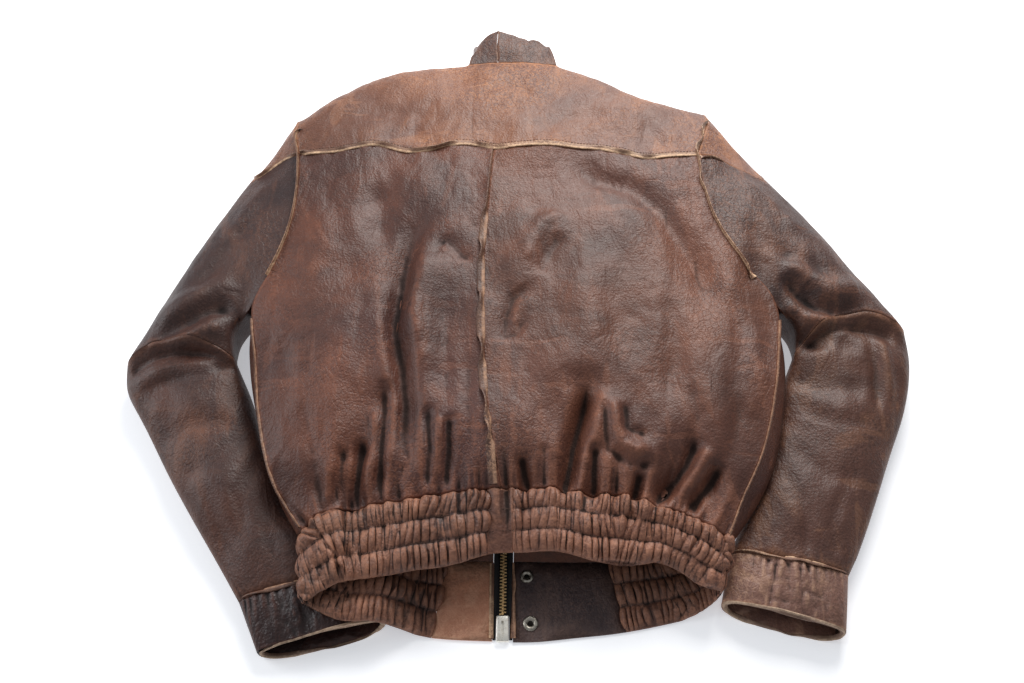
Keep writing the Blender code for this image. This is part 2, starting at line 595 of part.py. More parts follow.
def cuff_grid(side, sleeve):
    """Outer points of a cuff, from the sleeve's end to its mouth."""
    inner, outer, height, reach = CUFF_MOUTH[side]
    angles = sleeve_angles(sleeve.shape[0])
    across = 0.5 - 0.5 * np.cos(angles)
    upper = np.sin(angles) >= 0
    rise = np.abs(np.sin(angles))
    plan = np.array(inner) + (np.array(outer) - np.array(inner)) * across[:, None]
    away = np.array([inner[1] - outer[1], outer[0] - inner[0]])
    away = away / np.hypot(*away) * (1 if side == LEFT else -1)
    plan = plan + away * (reach * rise * ~upper)[:, None]
    edge = height * 0.42
    z = np.where(upper, edge + (height - edge) * rise**0.7, edge * np.clip(1 - rise / 0.45, 0, 1) ** 1.6)
    mouth = place(plan[:, 0], plan[:, 1], z)
    start = sleeve[:, -1]
    grid = np.stack([lerp(start, mouth, n / CUFF_ROWS) for n in range(CUFF_ROWS + 1)], axis=1)
    bulge = np.sin(np.linspace(0, np.pi, CUFF_ROWS + 1))[None] * (upper * rise)[:, None]
    grid[..., 2] += 0.003 * bulge
    return grid


def collar_grid(yoke, fronts):
    """Outer points of the collar, from its left end round the back to its right end."""
    first, last = neck_columns(yoke)
    fold = YOKE_ROWS + 1
    left = fronts[LEFT][first:, -1][::-1]
    left_side = yoke[first, fold:-1][::-1]
    back = yoke[first + 1 : last, fold]
    right_side = yoke[last, fold:-1]
    right = fronts[RIGHT][len(fronts[RIGHT]) - NECK_COLUMNS - 1 :, -1]
    base = np.concatenate([left, left_side, back, right_side, right])
    steps = np.linalg.norm(np.diff(base, axis=0), axis=1)
    share = np.concatenate([[0.0], np.cumsum(steps)]) / steps.sum()
    seam = len(left) + len(left_side) + (LEFT_COLUMNS - first - 1)
    share = np.interp(share, [0, share[seam], 1], [0, 0.5, 1])
    table = np.array(COLLAR_RISE)
    rim = base + through(table[:, 0], table[:, 1:], share)
    grid = np.stack([lerp(base, rim, n / COLLAR_ROWS) for n in range(COLLAR_ROWS + 1)], axis=1)
    outward = grid[:, 0] - np.array(NECK_MIDDLE)
    outward[:, 1] *= 0.2
    outward /= np.linalg.norm(outward, axis=1)[:, None]
    waist = np.sin(np.linspace(0, np.pi, COLLAR_ROWS + 1)) ** 2
    top = soft_step((0.14 - np.abs(share - 0.5)) / 0.08)
    grid += outward[:, None] * (0.003 * waist)[None, :, None] * top[:, None, None]
    return grid, seam


def band_rows(start, edge, drop, lifted):
    """Rows of the waistband between its seam and its free edge; lifted says how far each keeps to the floor."""
    t = np.linspace(0, 1, BAND_ROWS + 1)
    rows = start[:, None] + (edge - start)[:, None] * t[None, :, None]
    rows[..., 2] += drop[:, None] * np.sin(t * np.pi)[None]
    level = underside(rows[..., 0], rows[..., 1])
    ramp = level[:, :1] + (level[:, -1:] - level[:, :1]) * t[None]
    rows[..., 2] += lifted[:, None] * (level - ramp)
    return rows


def back_band_grid(back):
    """Outer points of the waistband's back."""
    start = back[:, 0]
    middle = start[LEFT_COLUMNS, 0]
    to_left = (start[:, 0] - middle) / (start[0, 0] - middle)
    to_right = (start[:, 0] - middle) / (start[-1, 0] - middle)
    is_left = start[:, 0] < middle
    x = np.where(is_left, lerp(middle, BAND_CORNER[LEFT], to_left), lerp(middle, BAND_CORNER[RIGHT], to_right))
    y = along_x(BAND_EDGE, x)
    share = np.where(is_left, to_left, to_right)
    z = np.maximum(BAND_EDGE_HEIGHT - BAND_EDGE_FALL * share**3, underside(x, y) + 0.019)
    from_end = np.minimum(np.arange(len(x)), np.arange(len(x))[::-1])
    return band_rows(start, place(x, y, z), BAND_SAG * np.minimum(from_end / 2, 1.0), np.zeros(len(x)))


def front_band_grid(side, front, back_band):
    """Outer points of the waistband's front, from the side seam to the zip."""
    start = front[:, 0]
    corner = back_band[0 if side == LEFT else -1, -1]
    count = len(start)
    end_x = zip_x(FRONT_EDGE_Y) + side * ZIP_GAP
    x = np.zeros(count)
    wrap = np.arange(WRAP_COLUMNS + 1) / WRAP_COLUMNS
    floor_x = side * BAND_FLOOR_X
    x[: WRAP_COLUMNS + 1] = corner[0] + side * 0.006 * np.sin(wrap * np.pi) + (floor_x - corner[0]) * wrap**1.6
    flat = np.arange(count - WRAP_COLUMNS) / (count - 1 - WRAP_COLUMNS)
    x[WRAP_COLUMNS:] = lerp(x[WRAP_COLUMNS], end_x, flat)
    y = along_x(FRONT_BAND_EDGE, x)
    y[: WRAP_COLUMNS + 1] = lerp(corner[1], y[: WRAP_COLUMNS + 1], wrap**0.8)
    low = underside(x, y)
    z = low.copy()
    z[: WRAP_COLUMNS + 1] = low[: WRAP_COLUMNS + 1] + (corner[2] - low[0]) * (1 - wrap) ** 1.7
    z[0] = corner[2]
    x[0], y[0] = corner[:2]
    lifted = np.clip(np.arange(count) / WRAP_COLUMNS, 0, 1)
    return band_rows(start, place(x, y, z), np.zeros(count), lifted)


def normals_of(grid):
    """Outward unit normals of a grid of points, from its own neighbours."""
    along = np.gradient(grid, axis=0)
    up = np.gradient(grid, axis=1)
    normal = np.cross(along, up)
    return normal / np.maximum(np.linalg.norm(normal, axis=-1, keepdims=True), 1e-12)


def shared_normals(grids, flips, neck):
    """Normals that are the same on both sides of every seam, save where a seam lies in a sharp valley."""
    sums = {}
    own = {name: normals_of(grid) * flips[name] for name, grid in grids.items()}
    for name, normal in own.items():
        if name.startswith(("sleeve", "cuff")):
            joined = normal[0] + normal[-1]
            normal[0] = joined / np.maximum(np.linalg.norm(joined, axis=1, keepdims=True), 1e-12)
            normal[-1] = normal[0]
    for name, grid in grids.items():
        shared = np.ones(grid.shape[:2], bool)
        if name.startswith("sleeve"):
            shared[[0, -1], 0] = False
        for point, normal in zip(grid[shared], own[name][shared]):
            key = tuple(np.round(point * 2e4).astype(int))
            sums[key] = sums.get(key, 0) + normal
    result = {}
    for name, grid in grids.items():
        joined = np.array([sums[tuple(np.round(p * 2e4).astype(int))] for p in grid.reshape(-1, 3)])
        joined /= np.maximum(np.linalg.norm(joined, axis=1, keepdims=True), 1e-12)
        joined = joined.reshape(grid.shape)
        apart = np.sum(joined * own[name], axis=-1, keepdims=True) < 0.80
        valley = np.zeros(grid.shape[:2] + (1,), bool)
        if name.startswith(("sleeve", "collar")):
            valley[:, 0] = True
        if name in ("front_left", "front_right"):
            valley[0, SIDE_ROWS + 1 :] = True
        if name == "yoke":
            valley[list(neck), YOKE_ROWS + 2 :] = True
        result[name] = np.where(apart & valley, own[name], joined)
        if name.startswith("sleeve"):
            result[name][[0, -1], 0] = own[name][[0, -1], 0]
    return result


def refine(grid, count):
    """The same facets with each column cut into count."""
    columns = grid.shape[0] - 1
    at = np.arange(columns * count + 1) / count
    low = np.minimum(at.astype(int), columns - 1)
    share = (at - low)[:, None, None]
    return grid[low] * (1 - share) + grid[low + 1] * share


def material(name, colour, roughness, metallic=0.0):
    made = bpy.data.materials.new(name)
    made.use_nodes = True
    shader = made.node_tree.nodes["Principled BSDF"]
    shader.inputs["Base Color"].default_value = (*colour, 1.0)
    shader.inputs["Roughness"].default_value = roughness
    shader.inputs["Metallic"].default_value = metallic
    return made


def add_object(name, bm, finish, smooth=True):
    mesh = bpy.data.meshes.new(name)
    for face in bm.faces:
        face.smooth = smooth
    bm.to_mesh(mesh)
    bm.free()
    mesh.materials.append(finish)
    made = bpy.data.objects.new(name, mesh)
    bpy.context.collection.objects.link(made)
    return made


def rim_shift(vert):
    """Move of a boundary vertex that sets both of its open edges in by half the seam gap."""
    inward = []
    for edge in vert.link_edges:
        if len(edge.link_faces) != 1:
            continue
        face = edge.link_faces[0]
        along = (edge.verts[1].co - edge.verts[0].co).normalized()
        middle = face.calc_center_median() - edge.verts[0].co
        side = middle - along * middle.dot(along)
        if side.length > 1e-9:
            inward.append(side.normalized())
    if not inward:
        return Vector()
    total = sum(inward, Vector())
    spread = max(0.45, 1 + (inward[0].dot(inward[-1]) if len(inward) > 1 else 1.0))
    if len(inward) == 1:
        spread = 1.0
    return total * (SEAM_GAP / 2 / spread)


def panel(name, grid, normals, keep, finish, wall=WALL, outer=None, inner=None):
    """One sewn piece: the kept cells of a grid, with their wall drawn inwards along the normals."""
    columns, rows = grid.shape[0] - 1, grid.shape[1] - 1
    bm = bmesh.new()
    bmesh.ops.create_grid(bm, x_segments=columns, y_segments=rows, size=0.5)
    cell = {}
    for vert in bm.verts:
        i = int(round((vert.co.x + 0.5) * columns))
        j = int(round((vert.co.y + 0.5) * rows))
        cell[vert] = (i, j)
    dropped = [f for f in bm.faces if not keep(min(cell[v][0] for v in f.verts), min(cell[v][1] for v in f.verts))]
    bmesh.ops.delete(bm, geom=dropped, context="FACES")
    for vert in bm.verts:
        vert.co = Vector(grid[cell[vert]])
    first_at = {}
    doubles = {}
    for vert in bm.verts:
        double = first_at.setdefault(tuple(round(c, 6) for c in vert.co), vert)
        if double is not vert:
            doubles[vert] = double
    bmesh.ops.weld_verts(bm, targetmap=doubles)
    verts = [v for v in bm.verts if v.link_faces]
    normal = {}
    plain = {}
    for vert in verts:
        normal[vert] = Vector(normals[cell[vert]])
    shifts = {v: rim_shift(v) for v in verts if v.is_boundary}
    for vert, shift in shifts.items():
        vert.co = vert.co + shift
    for vert in verts:
        plain[vert] = vert.co.copy()
    sheet = bmesh.ops.extrude_face_region(bm, geom=bm.faces[:])
    fresh = [g for g in sheet["geom"] if isinstance(g, bmesh.types.BMVert)]
    near = {tuple(round(c, 7) for c in plain[v]): v for v in verts}
    for vert in fresh:
        source = near[tuple(round(c, 7) for c in vert.co)]
        deep = wall if inner is None else wall + inner(*cell[source])
        vert.co = plain[source] - normal[source] * deep
    if outer is not None:
        for vert in verts:
            vert.co = plain[vert] + normal[vert] * outer(*cell[vert])
    inside = set(fresh)
    rim = [f for f in bm.faces if 0 < len(inside.intersection(f.verts)) < len(f.verts)]
    bmesh.ops.triangulate(bm, faces=rim, quad_method="SHORT_EDGE")
    bmesh.ops.recalc_face_normals(bm, faces=bm.faces[:])
    if bm.calc_volume(signed=True) < 0:
        bmesh.ops.reverse_faces(bm, faces=bm.faces[:])
    return add_object(name, bm, finish)


def puffs(count, rows=BAND_ROWS):
    """Relief of gathered cloth between rows of stitching: one puff for each two columns."""
    def at(i, j):
        share = j / rows
        pinch = abs(np.sin(share * PUFF_ROWS * np.pi)) if 0 < j < rows else 0.0
        if 0 < j < rows and j % (rows // PUFF_ROWS) == 0:
            pinch = 0.0
        inside = 0 < j < rows and 0 < i < count
        fade = 0.4 if min(i, count - i) < 2 else 1.0
        return PUFF * fade * (0.2 + 0.8 * (i % 2)) * (0.12 + 0.88 * pinch) if inside else 0.0
    return at


def lip(columns, rows):
    """A raised, topstitched edge one cell from the given border columns and rows."""
    def at(i, j):
        return LIP_HEIGHT if i in columns or j in rows else 0.0
    return at


def box(name, centre, size, finish, bevel=0.0):
    bm = bmesh.new()
    bmesh.ops.create_cube(bm, size=1.0, matrix=Matrix.Translation(centre) @ Matrix.Diagonal((*size, 1.0)))
    if bevel:
        bmesh.ops.bevel(bm, geom=bm.edges[:], offset=bevel, segments=2, profile=0.5, affect="EDGES", material=-1)
    return add_object(name, bm, finish)


def ring_snap(name, centre, radius, finish):
    """A pressed metal ring standing on the cloth: a lathed section about +Z."""
    bm = bmesh.new()
    section = [(0.42, 0.0), (1.0, 0.0), (0.97, 0.0012), (0.72, 0.0019), (0.42, 0.0010)]
    verts = [bm.verts.new((radius * r, 0.0, z)) for r, z in section]
    edges = [bm.edges.new((verts[n], verts[(n + 1) % len(verts)])) for n in range(len(verts))]
    bmesh.ops.spin(bm, geom=verts + edges, cent=(0, 0, 0), axis=(0, 0, 1), angle=2 * np.pi, steps=18,
                   use_merge=True)
    bmesh.ops.remove_doubles(bm, verts=bm.verts[:], dist=1e-6)
    bmesh.ops.recalc_face_normals(bm, faces=bm.faces[:])
    bmesh.ops.translate(bm, verts=bm.verts[:], vec=centre)
    return add_object(name, bm, finish)


def zip_height(y):
    """Height of the leather's lower face beside the zip."""
    return float(underside(np.array(zip_x(y)), np.array(y)))


def zip_strip(name, near, far, bottom, top, finish, start, end, steps=40):
    """A strip that follows the zip: between two distances from its middle, and two heights."""
    bm = bmesh.new()
    bmesh.ops.create_grid(bm, x_segments=steps, y_segments=1, size=0.5)
    box_side = BOX_WIDTH / 2 + 0.0004
    for vert in bm.verts:
        y = lerp(start, end, vert.co.x + 0.5)
        beside = near if y > BOX_START + BOX_LENGTH + 0.016 or abs(near) < 0.0033 else np.sign(near) * box_side
        aside = beside if vert.co.y < 0 else far
        vert.co = Vector((zip_x(y) + aside, y, zip_height(y) + bottom))
    made = bmesh.ops.extrude_face_region(bm, geom=bm.faces[:])
    fresh = [g for g in made["geom"] if isinstance(g, bmesh.types.BMVert)]
    bmesh.ops.translate(bm, verts=fresh, vec=(0, 0, top - bottom))
    bmesh.ops.recalc_face_normals(bm, faces=bm.faces[:])
    return add_object(name, bm, finish, smooth=False)


def faces_facing(bm, direction, beyond):
    """Faces that look along a direction and lie further from the middle height than beyond."""
    return [f for f in bm.faces if f.normal.dot(direction) > 0.9 and abs(f.calc_center_median().z) > beyond]


def slider(name, centre, finish):
    """Zip slider: two plates joined by a neck ahead of the closed chain."""
    bm = bmesh.new()
    bmesh.ops.create_cube(bm, size=1.0, matrix=Matrix.Diagonal((0.0032, 0.0040, 2 * SLIDER_HALF, 1.0)))
    for height in (-SLIDER_INSIDE, SLIDER_INSIDE):
        bmesh.ops.bisect_plane(bm, geom=bm.verts[:] + bm.edges[:] + bm.faces[:], plane_co=(0, 0, height),
                               plane_no=(0, 0, 1))
    for direction, length in (((0, -1, 0), 0.0110), ((1, 0, 0), 0.0036), ((-1, 0, 0), 0.0036)):
        bm.normal_update()
        faces = faces_facing(bm, Vector(direction), SLIDER_INSIDE)
        made = bmesh.ops.extrude_face_region(bm, geom=faces)
        fresh = [g for g in made["geom"] if isinstance(g, bmesh.types.BMVert)]
        bmesh.ops.delete(bm, geom=faces, context="FACES_ONLY")
        bmesh.ops.translate(bm, verts=fresh, vec=Vector(direction) * length)
    bmesh.ops.recalc_face_normals(bm, faces=bm.faces[:])
    bmesh.ops.translate(bm, verts=bm.verts[:], vec=Vector(centre) + Vector((0, 0.0055, 0)))
    return add_object(name, bm, finish, smooth=False)


def bridge(name, centre, finish):
    """Loop under the slider that holds the tab: a U of metal seen from the side, drawn across."""
    bm = bmesh.new()
    top = -SLIDER_HALF - 0.0003
    low = -SLIDER_HALF - BRIDGE_DEPTH
    inside = low + BRIDGE_METAL
    outline = [(-0.0047, top), (-0.0047, low + 0.0012), (-0.0036, low), (0.0036, low), (0.0047, low + 0.0012),
               (0.0047, top), (0.0036, top), (0.0036, inside + 0.0005), (0.0031, inside),
               (-0.0031, inside), (-0.0036, inside + 0.0005), (-0.0036, top)]
    face = bm.faces.new([bm.verts.new((-0.0012, y, z)) for y, z in outline])
    made = bmesh.ops.extrude_face_region(bm, geom=[face])
    fresh = [g for g in made["geom"] if isinstance(g, bmesh.types.BMVert)]
    bmesh.ops.translate(bm, verts=fresh, vec=(0.0024, 0, 0))
    bmesh.ops.recalc_face_normals(bm, faces=bm.faces[:])
    bmesh.ops.translate(bm, verts=bm.verts[:], vec=centre)
    return add_object(name, bm, finish, smooth=False)


def pull_tab(name, pivot, finish):
    """The slider's tab, its origin on the axis it swings about, lying along the closed chain."""
    across = [-0.0036, -0.0017, 0.0017, 0.0036]
    along = [(0.0008, 0.86), (-0.0008, 1.0), (-0.0066, 1.0), (-0.0100, 0.92), (-0.0200, 1.04), (-0.0262, 0.80)]
    bm = bmesh.new()
    bmesh.ops.create_grid(bm, x_segments=3, y_segments=len(along) - 1, size=0.5)
    dropped = [f for f in bm.faces if abs(f.calc_center_median().x) < 0.1
               and 0.2 < f.calc_center_median().y + 0.5 < 0.4]
    bmesh.ops.delete(bm, geom=dropped, context="FACES")
    for vert in bm.verts:
        i = int(round((vert.co.x + 0.5) * 3))
        j = int(round((vert.co.y + 0.5) * (len(along) - 1)))
        y, wide = along[j]
        vert.co = Vector((across[i] * (wide if i in (0, 3) else 1.0), y, -TAB_THICK / 2))
    made = bmesh.ops.extrude_face_region(bm, geom=bm.faces[:])
    fresh = [g for g in made["geom"] if isinstance(g, bmesh.types.BMVert)]
    bmesh.ops.translate(bm, verts=fresh, vec=(0, 0, TAB_THICK))
    bmesh.ops.recalc_face_normals(bm, faces=bm.faces[:])
    tab = add_object(name, bm, finish, smooth=False)
    tab.location = pivot
    return tab


def srgb(red, green, blue):
    """Linear colour of a colour given in 8-bit values."""
    share = np.array([red, green, blue]) / 255
    return tuple(float(c) for c in np.where(share <= 0.04045, share / 12.92, ((share + 0.055) / 1.055) ** 2.4))


def garment_grids():
    """Grids of outer points for every part of the garment, which way each faces, and three seam columns."""
    back = back_grid()
    yoke = yoke_grid(back)
    fronts = {side: front_grid(side, back, yoke) for side in (LEFT, RIGHT)}
    sleeves = {side: sleeve_grid(side, back, yoke, fronts[side]) for side in (LEFT, RIGHT)}
    collar, collar_seam = collar_grid(yoke, fronts)
    back_band = back_band_grid(back)
    grids = {"back": back, "yoke": yoke, "collar": collar, "back_band": back_band}
    flips = {"back": 1, "yoke": 1, "collar": 1, "back_band": -1}
    for side, word in ((LEFT, "left"), (RIGHT, "right")):
        grids["front_" + word] = fronts[side]
        flips["front_" + word] = side
        grids["sleeve_" + word] = sleeves[side]
        flips["sleeve_" + word] = -side
        grids["cuff_" + word] = cuff_grid(side, sleeves[side])
        flips["cuff_" + word] = -side
        grids["front_band_" + word] = front_band_grid(side, fronts[side], back_band)
        flips["front_band_" + word] = -side
    return grids, flips, collar_seam, neck_columns(yoke)


def build_cloth():
    grids, flips, collar_seam, (first, last) = garment_grids()
    normals = shared_normals(grids, flips, (first, last))
    yoke_leather = material("yoke_leather", srgb(150, 118, 92), 0.52)
    left_leather = material("back_left_leather", srgb(118, 86, 68), 0.50)
    right_leather = material("back_right_leather", srgb(122, 92, 76), 0.50)
    front_leather = material("front_leather", srgb(108, 80, 64), 0.52)
    dark_leather = material("upper_sleeve_leather", srgb(82, 64, 56), 0.48)
    under_leather = material("under_sleeve_leather", srgb(104, 76, 60), 0.52)
    cuff_leather = material("cuff_leather", srgb(76, 54, 46), 0.46)
    band_leather = material("band_leather", srgb(138, 102, 80), 0.55)
    end_leather = material("end_leather", srgb(128, 94, 70), 0.55)
    tab_leather = material("tab_leather", srgb(58, 46, 44), 0.50)
    collar_leather = material("collar_leather", srgb(92, 76, 70), 0.52)

    rows = SIDE_ROWS + ARMHOLE_ROWS
    columns = LEFT_COLUMNS + RIGHT_COLUMNS
    sheet = (grids["back"], normals["back"])
    panel("back_left", *sheet, lambda i, j: i < LEFT_COLUMNS, left_leather, outer=lip((0, LEFT_COLUMNS), ()))
    panel("back_right", *sheet, lambda i, j: i >= LEFT_COLUMNS, right_leather, outer=lip((columns,), ()))
    panel("back_yoke", grids["yoke"], normals["yoke"],
          lambda i, j: not (first <= i < last and j >= YOKE_ROWS + 1), yoke_leather, outer=lip((), (0,)))
    cap_start = ARMHOLE_ROWS
    cap_end = ARMHOLE_ROWS + YOKE_ROWS + FOLD_ROWS
    for side, word in ((LEFT, "left"), (RIGHT, "right")):
        def is_cap(i, j):
            return cap_start <= i < cap_end and j < CAP_ROWS

        def is_under(i, j):
            return i < UNDER_COLUMNS and j >= ELBOW_ROW

        sheet = (grids["front_" + word], normals["front_" + word])
        panel("front_" + word, *sheet, lambda i, j: True, front_leather)
        sheet = (grids["sleeve_" + word], normals["sleeve_" + word])
        panel("sleeve_cap_" + word, *sheet, is_cap, yoke_leather)
        panel("sleeve_under_" + word, *sheet, is_under, under_leather)
        panel("sleeve_upper_" + word, *sheet, lambda i, j: not is_cap(i, j) and not is_under(i, j), dark_leather)
        panel("cuff_" + word, grids["cuff_" + word], normals["cuff_" + word], lambda i, j: True, cuff_leather,
              wall=CUFF_WALL)
    sheet = (grids["collar"], normals["collar"])
    panel("collar_left", *sheet, lambda i, j: i < collar_seam, collar_leather)
    panel("collar_right", *sheet, lambda i, j: i >= collar_seam, collar_leather)

    band, facing = grids["back_band"], normals["back_band"]
    plain = (LEFT_COLUMNS - 1, LEFT_COLUMNS + 1)
    many = PLEATS_PER_COLUMN
    left = slice(0, plain[0] + 1)
    right = slice(plain[1], None)
    panel("waistband_back_left", refine(band[left], many), refine(facing[left], many), lambda i, j: True,
          band_leather, outer=puffs(plain[0] * many))
    panel("waistband_back_right", refine(band[right], many), refine(facing[right], many), lambda i, j: True,
          band_leather, outer=puffs((columns - plain[1]) * many))
    panel("waistband_back_centre", band, facing, lambda i, j: plain[0] <= i < plain[1], band_leather)
    for word, end_column, finish in (("left", 12, end_leather), ("right", 10, tab_leather)):
        band, facing = grids["front_band_" + word], normals["front_band_" + word]
        shirred = slice(0, end_column + 1)
        gathers = puffs(end_column * many)
        wrapped = (WRAP_COLUMNS - 2) * many
        panel("waistband_front_" + word, refine(band[shirred], many), refine(facing[shirred], many),
              lambda i, j: True, band_leather,
              outer=lambda i, j: gathers(i, j) if i <= wrapped else 0.0,
              inner=lambda i, j: gathers(i, j) if i > wrapped else 0.0)
        panel("waistband_end_" + word, band, facing, lambda i, j: i >= end_column, finish)


def build_hardware():
    brass = material("aged_brass", srgb(150, 120, 72), 0.38, 1.0)
    nickel = material("worn_nickel", srgb(186, 184, 178), 0.30, 1.0)
    tape = material("zip_tape", srgb(28, 26, 27), 0.90)
    chain_end = SLIDER_Y + 0.0030
    box_end = BOX_START + BOX_LENGTH
    height = zip_height(SLIDER_Y)
    middle = height + HARD_LIFT + CHAIN_THICK / 2
    outer = ZIP_GAP - 0.0003
    inner = CHAIN_WIDTH / 2 + 0.0003
    zip_strip("zip_tape_left", -inner, -outer, TAPE_LIFT, TAPE_LIFT + TAPE_THICK, tape, BOX_START + 0.002, 0.281)
    zip_strip("zip_tape_right", inner, outer, TAPE_LIFT, TAPE_LIFT + TAPE_THICK, tape, BOX_START + 0.002, 0.281)
    zip_strip("zip_chain", -CHAIN_WIDTH / 2, CHAIN_WIDTH / 2, HARD_LIFT, HARD_LIFT + CHAIN_THICK, brass,
              box_end + 0.0003, chain_end)
    box("zip_box", (zip_x(BOX_START + BOX_LENGTH / 2), BOX_START + BOX_LENGTH / 2, HARD_LIFT + BOX_THICK / 2),
        (BOX_WIDTH, BOX_LENGTH, BOX_THICK), nickel, bevel=0.0008)
    centre = (zip_x(SLIDER_Y), SLIDER_Y, middle)
    slider("zip_slider", centre, brass)
    bridge("slider_bridge", centre, brass)
    pull_tab("pull_tab", (centre[0], SLIDER_Y, middle - SLIDER_HALF - TAB_DROP), brass)
    for n, ((x, y), radius) in enumerate(SNAPS):
        ring_snap("snap_" + ("upper", "lower")[n], (x, y, WALL + 0.0003), radius, nickel)


def stand_on_origin():
    """Moves everything so that the middle of its bounding box, on the floor, is the origin."""
    bpy.context.view_layer.update()
    corners = [made.matrix_world @ v.co for made in bpy.data.objects for v in made.data.vertices]
    low = [min(c[axis] for c in corners) for axis in range(3)]
    high = [max(c[axis] for c in corners) for axis in range(3)]
    shift = Vector((-(low[0] + high[0]) / 2, -(low[1] + high[1]) / 2, -low[2]))
    for made in bpy.data.objects:
        if made.name == "pull_tab":
            made.location = made.location + shift
        else:
            made.data.transform(Matrix.Translation(shift))


for old in list(bpy.data.objects):
    bpy.data.objects.remove(old)
build_cloth()
build_hardware()
stand_on_origin()
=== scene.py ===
"""A worn leather blouson lying face down: fine leather, seams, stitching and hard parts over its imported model."""
import logging
import math
from dataclasses import dataclass, field
from enum import Enum
from typing import Callable, Sequence

import bmesh
import bpy
import numpy as np
from bpy.types import Material, Object
from mathutils import Matrix, Vector
from mathutils.bvhtree import BVHTree
from mathutils.kdtree import KDTree

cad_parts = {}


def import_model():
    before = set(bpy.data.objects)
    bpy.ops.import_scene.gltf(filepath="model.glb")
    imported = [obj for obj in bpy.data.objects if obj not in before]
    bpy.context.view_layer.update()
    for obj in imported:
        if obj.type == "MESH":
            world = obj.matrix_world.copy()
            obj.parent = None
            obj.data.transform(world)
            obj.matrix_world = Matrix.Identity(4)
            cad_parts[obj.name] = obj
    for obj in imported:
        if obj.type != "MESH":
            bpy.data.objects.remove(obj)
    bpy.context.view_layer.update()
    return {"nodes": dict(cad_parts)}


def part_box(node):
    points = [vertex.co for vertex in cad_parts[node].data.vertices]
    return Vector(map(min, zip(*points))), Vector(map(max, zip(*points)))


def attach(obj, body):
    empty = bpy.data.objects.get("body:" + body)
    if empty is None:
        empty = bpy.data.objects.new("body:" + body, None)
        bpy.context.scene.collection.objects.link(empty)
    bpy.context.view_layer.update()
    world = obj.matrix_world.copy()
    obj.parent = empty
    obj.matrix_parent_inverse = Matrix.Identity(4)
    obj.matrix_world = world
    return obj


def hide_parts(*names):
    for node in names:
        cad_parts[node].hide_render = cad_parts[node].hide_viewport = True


Path = tuple[tuple[float, float], ...]
Triple = tuple[float, float, float]
Array = np.ndarray

LOG = logging.getLogger("blouson")
BODY = "jacket"
FLOOR = ("studio_floor",)
# Where the drawing's own origin, in the middle of the back, lies in the model's frame
DRAWN_ORIGIN = Vector((-0.00879, -0.04108, 0.0))


class Side(Enum):
    """The garment's sides as they lie in view."""

    LEFT = "left"
    RIGHT = "right"

    @property
    def sign(self) -> int:
        """Which way X runs towards this side."""
        return -1 if self is Side.LEFT else 1


class Held(Enum):
    """How a piece of leather is held in the made garment."""

    LAID = "laid"
    GATHERED = "gathered"


@dataclass(frozen=True)
class Noise:
    """Smooth noise over space, the same on each run."""

    seed: int

    ENTRIES = 4096
    PRIMES = (73856093, 19349663, 83492791)

    def at(self, points: Array, size: Sequence[float]) -> Array:
        """Noise from -1 to 1.

        Args:
            points: places, one row each, in metres.
            size: how wide a patch of the noise is along each axis.

        Returns:
            One value for each place.
        """
        table = np.random.default_rng(self.seed).random(self.ENTRIES)
        cell = points / np.asarray(size)
        low = np.floor(cell).astype(np.int64)
        part = cell - low
        part = part * part * (3 - 2 * part)
        total = np.zeros(len(points))
        for corner in range(8):
            step = np.array([corner & 1, corner >> 1 & 1, corner >> 2])
            x, y, z = ((low + step) * self.PRIMES).T
            key = (x ^ y ^ z) & (self.ENTRIES - 1)
            total += table[key] * np.prod(np.where(step, part, 1 - part), axis=1)
        return total * 2 - 1

    def creases(self, points: Array, size: Sequence[float]) -> Array:
        """Narrow creases between soft swells, from -1 in a crease to 1."""
        return 2 * np.sqrt(np.abs(self.at(points, size)) + 1e-6) - 1


def path(*numbers: int) -> Path:
    """A drawn path from x, y pairs in whole millimetres."""
    return tuple((x / 1000, y / 1000) for x, y in zip(numbers[::2], numbers[1::2]))


def drawn(line: Path) -> Array:
    """A drawn path's points in the model's frame, seen from above."""
    return np.array(line) + np.array(DRAWN_ORIGIN[:2])


def soft(value: Array) -> Array:
    """A smooth step from 0 to 1."""
    part = np.clip(value, 0.0, 1.0)
    return part * part * (3 - 2 * part)


def track(drawing: Path, points: Array) -> tuple[Array, Array, float]:
    """Where places lie along a drawn path.

    Args:
        drawing: the path.
        points: places in the model's frame.

    Returns:
        How far along the path each place's nearest point is, how far off the path it lies, and the path's length.
    """
    line = drawn(drawing)
    steps = np.diff(line, axis=0)
    lengths = np.hypot(steps[:, 0], steps[:, 1])
    starts = np.concatenate([[0.0], np.cumsum(lengths)])
    best = np.full(len(points), np.inf)
    along = np.zeros(len(points))
    for start, corner, way, length in zip(starts, line, steps / lengths[:, None], lengths):
        beside = points[:, :2] - corner
        held = np.clip(beside @ way, 0.0, length)
        gap = np.hypot(*(beside - held[:, None] * way).T)
        along = np.where(gap < best, start + held, along)
        best = np.minimum(gap, best)
    return along, best, starts[-1]


@dataclass(frozen=True)
class Crease:
    """One fold: its path over the garment as (x, y), its depth and its half-width, in metres."""

    line: Path
    depth: float
    width: float

    TAPER = 0.22

    def relief(self, points: Array) -> Array:
        """Height that the fold adds at each place, tapering at its ends.

        Args:
            points: places in the model's frame, one row each.

        Returns:
            One height for each place.
        """
        line = drawn(self.line)
        reach = 3.0 * self.width
        flat = points[:, :2]
        close = np.all((flat > line.min(axis=0) - reach) & (flat < line.max(axis=0) + reach), axis=1)
        along, gap, length = track(self.line, points[close])
        share = along / length
        fade = soft(share / self.TAPER + 0.1) * soft((1 - share) / self.TAPER + 0.1)
        total = np.zeros(len(points))
        total[close] = self.depth * np.exp(-((gap / self.width) ** 2)) * fade
        return total


